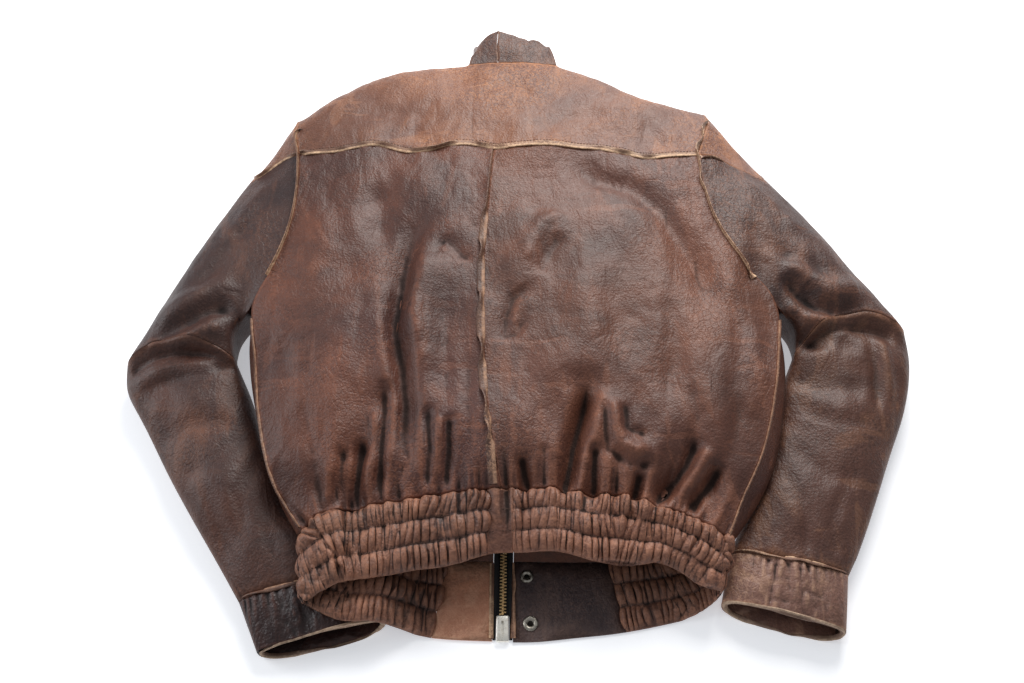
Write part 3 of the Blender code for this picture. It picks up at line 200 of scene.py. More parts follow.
def folds(*rows: tuple[int, ...]) -> tuple[Crease, ...]:
    """Folds from rows of depth and half-width, in tenths of a millimetre, and a path in whole millimetres."""
    return tuple(Crease(path(*row[2:]), row[0] / 10000, row[1] / 10000) for row in rows)


def srgb(red: float, green: float, blue: float) -> Triple:
    """Linear colour of a colour given in 8-bit values."""
    share = np.array([red, green, blue]) / 255
    return tuple(float(c) for c in np.where(share <= 0.04045, share / 12.92, ((share + 0.055) / 1.055) ** 2.4))


class Value:
    """A shader socket that takes part in Python sums."""

    def __init__(self, board: "Board", socket: bpy.types.NodeSocket) -> None:
        """Keeps the socket and the board it is on."""
        self.board = board
        self.socket = socket

    def _math(self, operation: str, *inputs: object, clamp: bool = False) -> "Value":
        """Adds one Math node."""
        return self.board.node("ShaderNodeMath", {"operation": operation, "use_clamp": clamp}, dict(enumerate(inputs)))

    def __add__(self, other: object) -> "Value":
        """Sum."""
        return self._math("ADD", self, other)

    __radd__ = __add__

    def __sub__(self, other: object) -> "Value":
        """Difference."""
        return self._math("SUBTRACT", self, other)

    def __rsub__(self, other: object) -> "Value":
        """Difference the other way round."""
        return self._math("SUBTRACT", other, self)

    def __mul__(self, other: object) -> "Value":
        """Product."""
        return self._math("MULTIPLY", self, other)

    __rmul__ = __mul__

    def held(self) -> "Value":
        """Held between 0 and 1."""
        return self._math("ADD", self, 0.0, clamp=True)

    def between(self, low: float, high: float) -> "Value":
        """A smooth step from 0 at low to 1 at high."""
        return self.board.node("ShaderNodeMapRange", {"interpolation_type": "SMOOTHSTEP"},
                               {"Value": self, "From Min": low, "From Max": high})


class Board:
    """The node board of one material."""

    def __init__(self, name: str) -> None:
        """Starts a material with a Principled shader."""
        self.material = bpy.data.materials.new(name)
        self.material.use_nodes = True
        self.tree = self.material.node_tree
        self.shader = self.tree.nodes["Principled BSDF"]
        self.place = self.node("ShaderNodeTexCoord", {}, {}, "Object")

    def node(self, kind: str, settings: dict[str, object], inputs: dict[object, object],
             output: object = 0) -> "Value":
        """Adds one node.

        Args:
            kind: the node's type.
            settings: its own settings, set first.
            inputs: values or links of its sockets, by name or number.
            output: the socket to give back.

        Returns:
            The output as a value.
        """
        made = self.tree.nodes.new(kind)
        for key, value in settings.items():
            setattr(made, key, value)
        for key, value in inputs.items():
            self.feed(made.inputs[key], value)
        return Value(self, made.outputs[output])

    def feed(self, socket: bpy.types.NodeSocket, value: object) -> None:
        """Links or sets one socket.

        Args:
            socket: the socket.
            value: a value of the board, a number, or a colour.
        """
        if isinstance(value, Value):
            self.tree.links.new(value.socket, socket)
        elif isinstance(value, tuple) and len(value) == 3 and socket.type == "RGBA":
            socket.default_value = (*value, 1.0)
        else:
            socket.default_value = value

    def noise(self, scale: float, detail: float = 3.0, stretch: Triple = (1.0, 1.0, 1.0),
              rough: float = 0.55, turn: float = 0.0, twist: float = 0.0) -> "Value":
        """Noise over the piece, in Object coordinates, drawn out along its axes."""
        place = self.node("ShaderNodeMapping", {}, {"Vector": self.place, "Scale": stretch, "Rotation": (0, 0, turn)})
        return self.node("ShaderNodeTexNoise", {},
                         {"Vector": place, "Scale": scale, "Detail": detail, "Roughness": rough, "Distortion": twist},
                         "Fac")

    def cells(self, scale: float, feature: str = "F1", stretch: Triple = (1.0, 1.0, 1.0)) -> "Value":
        """Distance from the middles, or from the edges, of small cells over the piece."""
        place = self.node("ShaderNodeMapping", {}, {"Vector": self.place, "Scale": stretch})
        return self.node("ShaderNodeTexVoronoi", {"feature": feature}, {"Vector": place, "Scale": scale}, "Distance")

    def attribute(self, name: str) -> "Value":
        """A number kept on the piece's points."""
        return self.node("ShaderNodeAttribute", {"attribute_name": name}, {}, "Fac")

    def mix(self, share: object, first: object, second: object) -> "Value":
        """Mixes two colours."""
        return self.node("ShaderNodeMix", {"data_type": "RGBA"}, {0: share, 6: first, 7: second}, 2)

    def bump(self, height: Value, depth: float, strength: float) -> None:
        """Feeds a Bump node to the shader's normal."""
        self.feed(self.shader.inputs["Normal"],
                  self.node("ShaderNodeBump", {}, {"Height": height, "Distance": depth, "Strength": strength}))

    def finish(self, **sockets: object) -> Material:
        """Sets the shader's sockets, with underscores for spaces.

        Args:
            **sockets: values or links, by the sockets' names.

        Returns:
            The material.
        """
        for key, value in sockets.items():
            self.feed(self.shader.inputs[key.replace("_", " ")], value)
        return self.material


@dataclass(frozen=True)
class LeatherFinish:
    """Worn leather: colours, crest wear and painted highlight, painted shade in valleys, gloss. Attribute bend is up
    on crests.
    """

    name: str
    main: Triple
    dark: Triple
    light: Triple
    tint: Triple
    # How strongly crests are lightened, partly as wear and partly as painted highlight, and how much scuffing shows
    worn: float = 0.5
    gloss: float = 0.45
    scratch: float = 0.5

    def build(self) -> Material:
        """Makes the material.

        Returns:
            The material.
        """
        board = Board(self.name)
        bend = board.attribute("bend")
        patches = board.noise(9.0, 5.0, rough=0.62, twist=0.6)
        clouds = board.noise(3.6, 3.0, turn=0.5)
        streaks = board.noise(26.0, 6.0, stretch=(1.0, 0.35, 1.0), rough=0.68, twist=1.2)
        flecks = board.noise(160.0, 4.0, rough=0.7)
        lines = board.noise(46.0, 2.0, stretch=(1.0, 0.16, 1.0), turn=0.9, twist=0.4)
        more = board.noise(52.0, 2.0, stretch=(0.2, 1.0, 1.0), turn=0.35, twist=0.5)
        specks = board.noise(330.0, 5.0, rough=0.75, twist=0.8)
        areas = board.noise(5.2, 4.0, turn=1.1, rough=0.6, twist=0.8)
        colour = board.mix(patches.between(0.34, 0.66), srgb(*self.dark), srgb(*self.main))
        colour = board.mix(clouds.between(0.42, 0.72) * 0.5, colour, srgb(*self.tint))
        colour = board.mix(streaks.between(0.50, 0.74) * 0.45, colour, srgb(*self.light))
        # Crests are lightened: partly real rubbing wear, partly painted highlight where light catches them
        crest_wear_and_highlight = (bend.between(0.16, 0.80) * (0.35 + flecks.between(0.35, 0.65) * 0.65)) * self.worn
        fine = ((lines.between(0.60, 0.66) + more.between(0.61, 0.67)) * clouds.between(0.35, 0.6)).held()
        scuffed = areas.between(0.46, 0.64) * specks.between(0.46, 0.60) * self.worn
        colour = board.mix((fine * self.scratch * 0.5 + scuffed * 0.85).held(), colour, srgb(*self.light))
        sunk = (1.0 - areas).between(0.44, 0.64) * (1.0 - specks).between(0.44, 0.62)
        colour = board.mix(sunk * 0.55, colour, srgb(*[c * 0.72 for c in self.dark]))
        colour = board.mix(crest_wear_and_highlight.held(), colour, srgb(*self.light))
        # Valleys are darkened towards deep brown: painted shade in the creases
        valley = (0.0 - bend).between(0.14, 0.95)
        colour = board.mix(valley * 0.88, colour, srgb(*[c * 0.36 for c in self.dark]))
        grain = board.cells(400.0)
        pores = board.cells(1100.0)
        crackle = board.cells(170.0, "DISTANCE_TO_EDGE", (1.0, 0.7, 1.0))
        wrinkle = board.noise(120.0, 5.0, stretch=(1.0, 0.6, 1.0), rough=0.62, twist=1.2)
        rolls = board.noise(34.0, 3.0, stretch=(1.0, 0.5, 1.0), turn=0.3, twist=1.6)
        height = (wrinkle * 0.30 + specks * 0.22 + grain * (0.14 + streaks * 0.30) + pores * 0.10
                  + crackle.between(0.0, 0.09) * areas.between(0.42, 0.60) * 0.16 + rolls * 1.5 - fine * 0.10)
        board.bump(height, 0.0013, 0.85)
        rough = (self.gloss + (flecks - 0.5) * 0.24 + (1.0 - patches) * 0.08 + crest_wear_and_highlight * 0.14 + scuffed * 0.12
                 + valley * 0.45)
        return board.finish(Base_Color=colour, Roughness=rough.held(), Specular_IOR_Level=0.42)


@dataclass(frozen=True)
class MetalFinish:
    """Aged metal, dull in spots and scratched."""

    name: str
    main: Triple
    dull: Triple
    gloss: float = 0.3

    def build(self) -> Material:
        """Makes the material.

        Returns:
            The material.
        """
        board = Board(self.name)
        spots = board.noise(420.0, 4.0)
        lines = board.noise(900.0, 2.0, stretch=(1.0, 0.15, 1.0), turn=0.6)
        colour = board.mix(spots.between(0.45, 0.75), srgb(*self.main), srgb(*self.dull))
        board.bump(lines * 0.4 + spots * 0.6, 0.00012, 0.6)
        return board.finish(Base_Color=colour, Metallic=1.0, Roughness=(self.gloss + spots * 0.22).held())


@dataclass(frozen=True)
class WovenFinish:
    """Woven tape or thread."""

    name: str
    main: Triple
    pale: Triple
    pitch: float = 0.0009

    def build(self) -> Material:
        """Makes the material.

        Returns:
            The material.
        """
        board = Board(self.name)
        across = board.node("ShaderNodeTexWave", {"wave_type": "BANDS", "bands_direction": "DIAGONAL"},
                            {"Vector": board.place, "Scale": 0.32 / self.pitch, "Distortion": 0.6}, "Fac")
        along = board.node("ShaderNodeTexWave", {"wave_type": "BANDS", "bands_direction": "Y"},
                           {"Vector": board.place, "Scale": 0.32 / self.pitch}, "Fac")
        fluff = board.noise(700.0, 4.0)
        colour = board.mix((across * 0.5 + fluff * 0.5) * along.between(0.2, 0.9), srgb(*self.main), srgb(*self.pale))
        board.bump(across * 0.5 + along * 0.5 + fluff * 0.4, 0.0003, 0.7)
        return board.finish(Base_Color=colour, Roughness=(0.86 + fluff * 0.1).held())


@dataclass(frozen=True)
class Gather:
    """Cloth drawn up along a seam: small pleats that start at the seam and die away from it."""

    seam: Path
    pitch: float
    height: float
    reach: float
    seed: int

    def relief(self, points: Array) -> Array:
        """Height that the pleats add at each place.

        Args:
            points: places in the model's frame, one row each.

        Returns:
            One height for each place.
        """
        along, gap, _ = track(self.seam, points)
        flat = np.zeros((len(points), 3))
        flat[:, 0] = along
        slide = Noise(self.seed).at(flat, (self.pitch * 2.6, 1.0, 1.0)) * 0.75
        wave = np.sin(2 * np.pi * (along / self.pitch + slide))
        wave = np.sign(wave) * np.abs(wave) ** 0.8
        strength = 0.65 + 0.5 * Noise(self.seed + 1).at(flat, (self.pitch * 1.7, 1.0, 1.0))
        length = self.reach * (1.0 + 0.55 * Noise(self.seed + 2).at(flat, (self.pitch * 1.3, 1.0, 1.0)))
        return self.height * strength * wave * np.exp(-((gap / length) ** 1.4))


@dataclass(frozen=True)
class Crinkle:
    """Crumpled leather round a place: narrow creases that run one way."""

    middle: tuple[float, float]
    radius: tuple[float, float]
    turn: float
    height: float
    size: tuple[float, float]
    seed: int

    def relief(self, points: Array) -> Array:
        """Height that the crumple adds at each place.

        Args:
            points: places in the model's frame, one row each.

        Returns:
            One height for each place.
        """
        beside = points[:, :2] - np.array(DRAWN_ORIGIN[:2]) - np.array(self.middle)
        cos, sin = math.cos(math.radians(self.turn)), math.sin(math.radians(self.turn))
        local = np.stack([beside @ (cos, sin), beside @ (-sin, cos), points[:, 2]], axis=1)
        far = np.hypot(local[:, 0] / self.radius[0], local[:, 1] / self.radius[1])
        mask = soft((1.0 - far) / 0.6)
        rough = Noise(self.seed).creases(local, (*self.size, 0.05))
        fine = Noise(self.seed + 1).creases(local, (self.size[0] * 0.5, self.size[1] * 0.5, 0.03))
        return self.height * mask * (rough * 0.7 + fine * 0.3)


@dataclass(frozen=True)
class Slump:
    """Standing leather that has sunk or been pushed up over a stretch across the garment."""

    middle: float
    reach: float
    move: Triple
    low: float = 0.338
    high: float = 0.376

    def shift(self, points: Array) -> Array:
        """How far each place moves, most at the top of what stands.

        Args:
            points: places in the model's frame, one row each.

        Returns:
            One move for each place.
        """
        across = np.clip(np.abs(points[:, 0] - DRAWN_ORIGIN[0] - self.middle) / self.reach, 0.0, 1.0)
        share = np.cos(across * np.pi / 2) ** 2 * soft((points[:, 1] - self.low) / (self.high - self.low))
        return share[:, None] * np.array(self.move)


@dataclass(frozen=True)
class Wear:
    """The relief of years of wear: listed folds, gathers, crumples and soft dents of the upper leather."""

    folds: tuple[Crease, ...]
    gathers: tuple[Gather, ...]
    crinkles: tuple[Crinkle, ...]
    floor: float = 0.006
    rise: float = 0.026

    # Seed of the noise, size of its patches and height, of the soft dents and of the fine creases
    DENTS = ((3, (0.036, 0.060, 0.08), 0.0034), (4, (0.016, 0.026, 0.03), 0.0009))
    WRINKLES = ((5, (0.022, 0.038, 0.05), 0.0006), (6, (0.0085, 0.012, 0.02), 0.00024))

    def lift(self, points: Array) -> Array:
        """How far each place moves up, fading out towards the surface that the garment lies on.

        Args:
            points: places in the model's frame, one row each.

        Returns:
            One height for each place.
        """
        total = sum(Noise(seed).at(points, size) * height for seed, size, height in self.DENTS)
        for seed, size, height in self.WRINKLES:
            total += Noise(seed).creases(points, size) * height
        for part in (*self.folds, *self.gathers, *self.crinkles):
            total += part.relief(points)
        return total * soft((points[:, 2] - self.floor) / self.rise)


@dataclass(frozen=True)
class Shirring:
    """Leather drawn up on elastic between rows of stitching: puffed ribs of small irregular pleats."""

    seam: Path
    edge: Path
    facing: Triple
    seed: int
    ribs: int = 3
    pitch: float = 0.0072
    height: float = 0.0052

    def lift(self, points: Array, normals: Array) -> Array:
        """How far each place moves out along its own normal, on the side that shows.

        Args:
            points: places in the model's frame, one row each.
            normals: the outward direction at each place.

        Returns:
            One height for each place.
        """
        along, near, _ = track(self.seam, points)
        _, far, _ = track(self.edge, points)
        share = near / np.maximum(near + far, 1e-9)
        rib = np.clip(np.floor(share * self.ribs), 0, self.ribs - 1)
        flat = np.stack([along, rib * 0.5, share * 0.02], axis=1)
        slide = Noise(self.seed).at(flat, (self.pitch * 2.3, 0.31, 0.02)) * 0.95
        lean = Noise(self.seed + 3).at(flat, (self.pitch * 4.0, 0.31, 0.008)) * 0.60
        pleat = np.abs(np.sin(np.pi * (along / self.pitch + slide + lean))) ** 0.5
        size = 0.74 + 0.60 * Noise(self.seed + 1).at(flat, (self.pitch * 1.9, 0.31, 1.0))
        puff = np.abs(np.sin(np.pi * self.ribs * share)) ** 0.55
        facing = normals @ (np.array(self.facing) / np.linalg.norm(self.facing))
        mask = soft((facing - 0.05) / 0.4) * soft(share / 0.04) * soft((1 - share) / 0.04)
        return self.height * size * puff * (0.10 + 0.90 * pleat) * mask


def rows_of(items: bpy.types.bpy_prop_collection, name: str) -> Array:
    """Three numbers of each item, one row each.

    Args:
        items: vertices or their normals.
        name: what is read of each.

    Returns:
        The rows.
    """
    flat = np.empty(len(items) * 3)
    items.foreach_get(name, flat)
    return flat.reshape(-1, 3)


def placed(name: str, data: bpy.types.ID) -> Object:
    """A new object of the scene.

    Args:
        name: its name.
        data: its mesh, lamp or camera.

    Returns:
        The object.
    """
    made = bpy.data.objects.new(name, data)
    bpy.context.collection.objects.link(made)
    return made


@dataclass(frozen=True)
class Cut:
    """A pattern piece before it was sewn: its width and length, flat area in square metres, and how it is held."""

    width: float
    length: float
    area: float
    held: Held = Held.LAID


@dataclass
class Sheet:
    """One piece of leather: its packed form, rounded, wrinkled and dressed."""

    node: str
    finish: LeatherFinish | WovenFinish
    slot: str
    cut: Cut
    levels: int = 3
    rests_on: tuple[str, ...] = ()
    shirring: Shirring | None = None
    slumps: tuple[Slump, ...] = ()
    piece: Object | None = field(default=None, init=False)
    tree: BVHTree | None = field(default=None, init=False)
    points: Array | None = field(default=None, init=False)

    # How near two corners are one. A look inwards that starts so far in and meets no wall marks the cut edge
    SAME = 2e-6
    INSET = 0.0003
    RIM_DEPTH = 0.0062
    # Largest angles, flat and in shape, of two triangles that join; and angles of corners that stay sharp while the
    # form is rounded and when it is shaded, in degrees
    JOINED = ((55, 80), (80, 130))
    TURNED = 50
    SHARP = 62
    # The bend, in 1/m, that counts as 1
    BEND = 55.0

    def build(self, source: Object, wear: Wear, skin: Material) -> None:
        """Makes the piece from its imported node.

        Args:
            source: the node's object.
            wear: relief of the worn leather.
            skin: the piece's material.
        """
        self.piece = self._rounded(source)
        mesh = self.piece.data
        points = rows_of(mesh.vertices, "co")
        points += sum((slump.shift(points) for slump in self.slumps), np.zeros_like(points))
        points[:, 2] = np.maximum(points[:, 2] + wear.lift(points), points[:, 2].min())
        if self.shirring:
            normals = rows_of(mesh.vertex_normals, "vector")
            points += normals * self.shirring.lift(points, normals)[:, None]
        mesh.vertices.foreach_set("co", points.ravel())
        mesh.update()
        self.points = points
        self._mark_bends(mesh)
        mesh.materials.clear()
        mesh.materials.append(skin)
        mesh.shade_smooth()
        mesh.set_sharp_from_angle(angle=math.radians(self.SHARP))
        self.tree = BVHTree.FromPolygons([Vector(p) for p in points], [p.vertices[:] for p in mesh.polygons])
        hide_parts(self.node)
        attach(self.piece, BODY)
        LOG.info("%s: %d faces", self.piece.name, len(mesh.polygons))

    def declare(self, goes_with: Sequence[Object]) -> None:
        """Does nothing."""

    def _rounded(self, source: Object) -> Object:
        """A subdivided copy of the node whose sewn edges stay where they are.

        Args:
            source: the node's object.

        Returns:
            The copy.
        """
        bm = bmesh.new()
        bm.from_mesh(source.data)
        bmesh.ops.remove_doubles(bm, verts=bm.verts[:], dist=self.SAME)
        for flat, square in self.JOINED:
            bmesh.ops.join_triangles(bm, faces=[f for f in bm.faces if len(f.verts) == 3],
                                     angle_face_threshold=math.radians(flat),
                                     angle_shape_threshold=math.radians(square), topology_influence=1.5)
        bm.normal_update()
        tree = BVHTree.FromBMesh(bm)
        starts = {face: face.calc_center_median() - face.normal * self.INSET for face in bm.faces}
        rim = {face for face, start in starts.items()
               if tree.ray_cast(start, -face.normal, self.RIM_DEPTH)[0] is None}
        crease = bm.edges.layers.float.new("crease_edge")
        for edge in bm.edges:
            on_rim = sum(face in rim for face in edge.link_faces)
            turned = edge.calc_face_angle(0.0) > math.radians(self.TURNED)
            if on_rim == 1 or turned and (on_rim == 2 or not self.shirring):
                edge[crease] = 1.0
        form = bpy.data.meshes.new(self.node + "_form")
        bm.to_mesh(form)
        bm.free()
        rough = placed(self.node + "_form", form)
        round_off = rough.modifiers.new("round_off", "SUBSURF")
        round_off.levels = round_off.render_levels = self.levels
        mesh = bpy.data.meshes.new_from_object(rough.evaluated_get(bpy.context.evaluated_depsgraph_get()))
        mesh.name = self.node + "_leather"
        bpy.data.objects.remove(rough)
        bpy.data.meshes.remove(form)
        return placed(mesh.name, mesh)

    def _mark_bends(self, mesh: bpy.types.Mesh) -> None:
        """Keeps on each point how far the leather is a crest, above 0, or a valley, below 0.

        Args:
            mesh: the piece's mesh.
        """
        count = len(mesh.vertices)
        ends = np.empty(len(mesh.edges) * 2, np.int64)
        mesh.edges.foreach_get("vertices", ends)
        ends = ends.reshape(-1, 2)
        normals = rows_of(mesh.vertex_normals, "vector")
        degree = np.maximum(np.bincount(ends.ravel(), minlength=count), 1)
        away = self.points[ends[:, 1]] - self.points[ends[:, 0]]
        square = np.maximum(np.sum(away * away, axis=1), 1e-10)
        first = -np.sum(away * normals[ends[:, 0]], axis=1) / square
        second = np.sum(away * normals[ends[:, 1]], axis=1) / square
        bend = (np.bincount(ends[:, 0], first, count) + np.bincount(ends[:, 1], second, count)) / degree
        bend = np.clip(bend / self.BEND, -2.0, 2.0)
        for _ in range(3):
            total = np.bincount(ends[:, 0], bend[ends[:, 1]], count) + np.bincount(ends[:, 1], bend[ends[:, 0]], count)
            bend = 0.5 * bend + 0.5 * total / degree
        mark = mesh.attributes.new("bend", "FLOAT", "POINT")
        mark.data.foreach_set("value", np.clip(bend, -1.0, 1.0).astype(np.float32))

    def touch(self, place: Vector) -> tuple[Vector, Vector]:
        """The nearest point of the leather, and its outward direction there."""
        spot, normal, _, _ = self.tree.find_nearest(place)
        return spot, normal

    def drop(self, x: float, y: float) -> float | None:
        """Height of the leather at (x, y), seen from above, if the piece lies there."""
        spot = self.tree.ray_cast(Vector((x, y, 1.0)), Vector((0, 0, -1)))[0]
        return None if spot is None else spot.z


@dataclass
class SeamLine:
    """A seam found between two finished pieces, as even steps along the outer leather."""

    points: Array

    # How near two pieces' edges lie at a seam, and how long a stretch keeps only its outermost point, in metres
    REACH = 0.0009
    STRETCH = 0.004
    # Steps of a dropped path and of a part, in metres, and where a drop looks beside a gap
    STEP = 0.003
    PART_STEP = 0.002
    ASIDE = (0.0, -0.0012, 0.0012)

    @classmethod
    def between(cls, near: Sheet, far: Sheet, key: Callable[[Array], Array],
                outward: Callable[[Array], Array], smooth: int = 2) -> "SeamLine":
        """Finds where one piece meets another.

        Args:
            near: the piece whose edge is followed.
            far: the piece on the other side.
            key: orders the edge's points, in metres along the seam.
            outward: is largest on the outer side of the wall.
            smooth: how often the line is averaged.

        Returns:
            The seam.
        """
        low, high = far.points.min(axis=0) - 0.002, far.points.max(axis=0) + 0.002
        close = near.points[np.all((near.points > low) & (near.points < high), axis=1)]
        hits = [n for n, p in enumerate(close) if far.tree.find_nearest(Vector(p), cls.REACH)[0] is not None]
        return cls.through(close[hits], key, outward, smooth=smooth)

    @classmethod
    def through(cls, places: Array, key: Callable[[Array], Array],
                outward: Callable[[Array], Array], closed: bool = False, smooth: int = 2) -> "SeamLine":
        """The outermost of some places, in order, as a smooth line.

        Args:
            places: points near the seam, one row each.
            key: orders them, in metres along the seam.
            outward: is largest on the outer side of the wall.
            closed: whether the seam runs round a tube.
            smooth: how often the line is averaged.

        Returns:
            The seam.
        """
        score = outward(places)
        bins = np.floor(key(places) / cls.STRETCH).astype(int)
        held = [np.where(bins == one)[0] for one in np.unique(bins)]
        line = np.array([places[some[np.argmax(score[some])]] for some in held])
        for _ in range(smooth):
            before, after = np.roll(line, 1, axis=0), np.roll(line, -1, axis=0)
            even = (before + 2 * line + after) / 4
            if not closed:
                even[0], even[-1] = line[0], line[-1]
            line = even
        if closed:
            line = np.vstack([line, line[:1]])
        return cls(line)

    @classmethod
    def over(cls, sheets: Sequence[Sheet], line: Path) -> "SeamLine":
        """A drawn path dropped onto the garment from above.

        Args:
            sheets: the pieces it may land on.
            line: the path.

        Returns:
            The seam.
        """
        flat = resample(np.c_[drawn(line), np.zeros(len(line))], cls.STEP)
        spots = []
        for x, y, _ in flat:
            for aside in cls.ASIDE:
                hits = [height for sheet in sheets if (height := sheet.drop(x + aside, y)) is not None]
                if hits:
                    spots.append(Vector((x, y, max(hits))))
                    break
        return cls(np.array([tuple(spot) for spot in spots]))

    def even(self, step: float) -> Array:
        """The line's points at an even step."""
        return resample(self.points, step)

    def part(self, first: float, last: float) -> "SeamLine":
        """The stretch between two shares of the line's length.

        Args:
            first: share where it starts.
            last: share where it ends.

        Returns:
            The stretch.
        """
        line = resample(self.points, self.PART_STEP)
        count = len(line) - 1
        return SeamLine(line[int(first * count): int(last * count) + 1])


def evened(rows: Array, times: int, closed: bool) -> Array:
    """Rows averaged with their neighbours a few times; the ends of an open line stay.

    Args:
        rows: points or directions along a line.
        times: how often they are averaged.
        closed: whether the line is a ring.

    Returns:
        The averaged rows.
    """
    for _ in range(times):
        if closed:
            ring = rows[:-1]
            ring = (np.roll(ring, 1, axis=0) + 2 * ring + np.roll(ring, -1, axis=0)) / 4
            rows = np.vstack([ring, ring[:1]])
        else:
            even = rows.copy()
            even[1:-1] = (rows[:-2] + 2 * rows[1:-1] + rows[2:]) / 4
            rows = even
    return rows


def resample(line: Array, step: float) -> Array:
    """Points at an even step along a line.

    Args:
        line: its corners.
        step: the step, in metres.

    Returns:
        The points, one row each.
    """
    lengths = np.linalg.norm(np.diff(line, axis=0), axis=1)
    along = np.concatenate([[0.0], np.cumsum(lengths)])
    count = max(2, int(round(along[-1] / step)) + 1)
    at = np.linspace(0, along[-1], count)
    return np.stack([np.interp(at, along, line[:, axis]) for axis in range(3)], axis=1)


@dataclass(frozen=True)
class Stance:
    """A place on the leather: the point, the way along the seam, the way across it, and the way out."""

    spot: Vector
    along: Vector
    across: Vector
    out: Vector


def swept(rings: Sequence[Sequence[Vector]], closed: bool = False) -> bmesh.types.BMesh:
    """A tube through rings of corners.

    Args:
        rings: the corners of each ring, all in the same order.
        closed: whether its end joins its start; otherwise both are capped.

    Returns:
        The tube.
    """
    bm = bmesh.new()
    ring = [bm.verts.new(corner) for corner in rings[0]]
    first = edges = [bm.edges.new(pair) for pair in zip(ring, ring[1:] + ring[:1])]
    if not closed:
        bmesh.ops.contextual_create(bm, geom=edges)
    for corners in rings[1:]:
        made = bmesh.ops.extrude_edge_only(bm, edges=edges)["geom"]
        fresh = [g for g in made if isinstance(g, bmesh.types.BMVert)]
        edges = [g for g in made if isinstance(g, bmesh.types.BMEdge) and all(v in fresh for v in g.verts)]
        order = {vert: n for n, vert in enumerate(ring)}
        for vert in fresh:
            source = next(order[e.other_vert(vert)] for e in vert.link_edges if e.other_vert(vert) in order)
            vert.co = corners[source]
            ring[source] = vert
    if closed:
        bmesh.ops.bridge_loops(bm, edges=first + edges)
    else:
        bmesh.ops.contextual_create(bm, geom=edges)
    bmesh.ops.recalc_face_normals(bm, faces=bm.faces[:])
    return bm


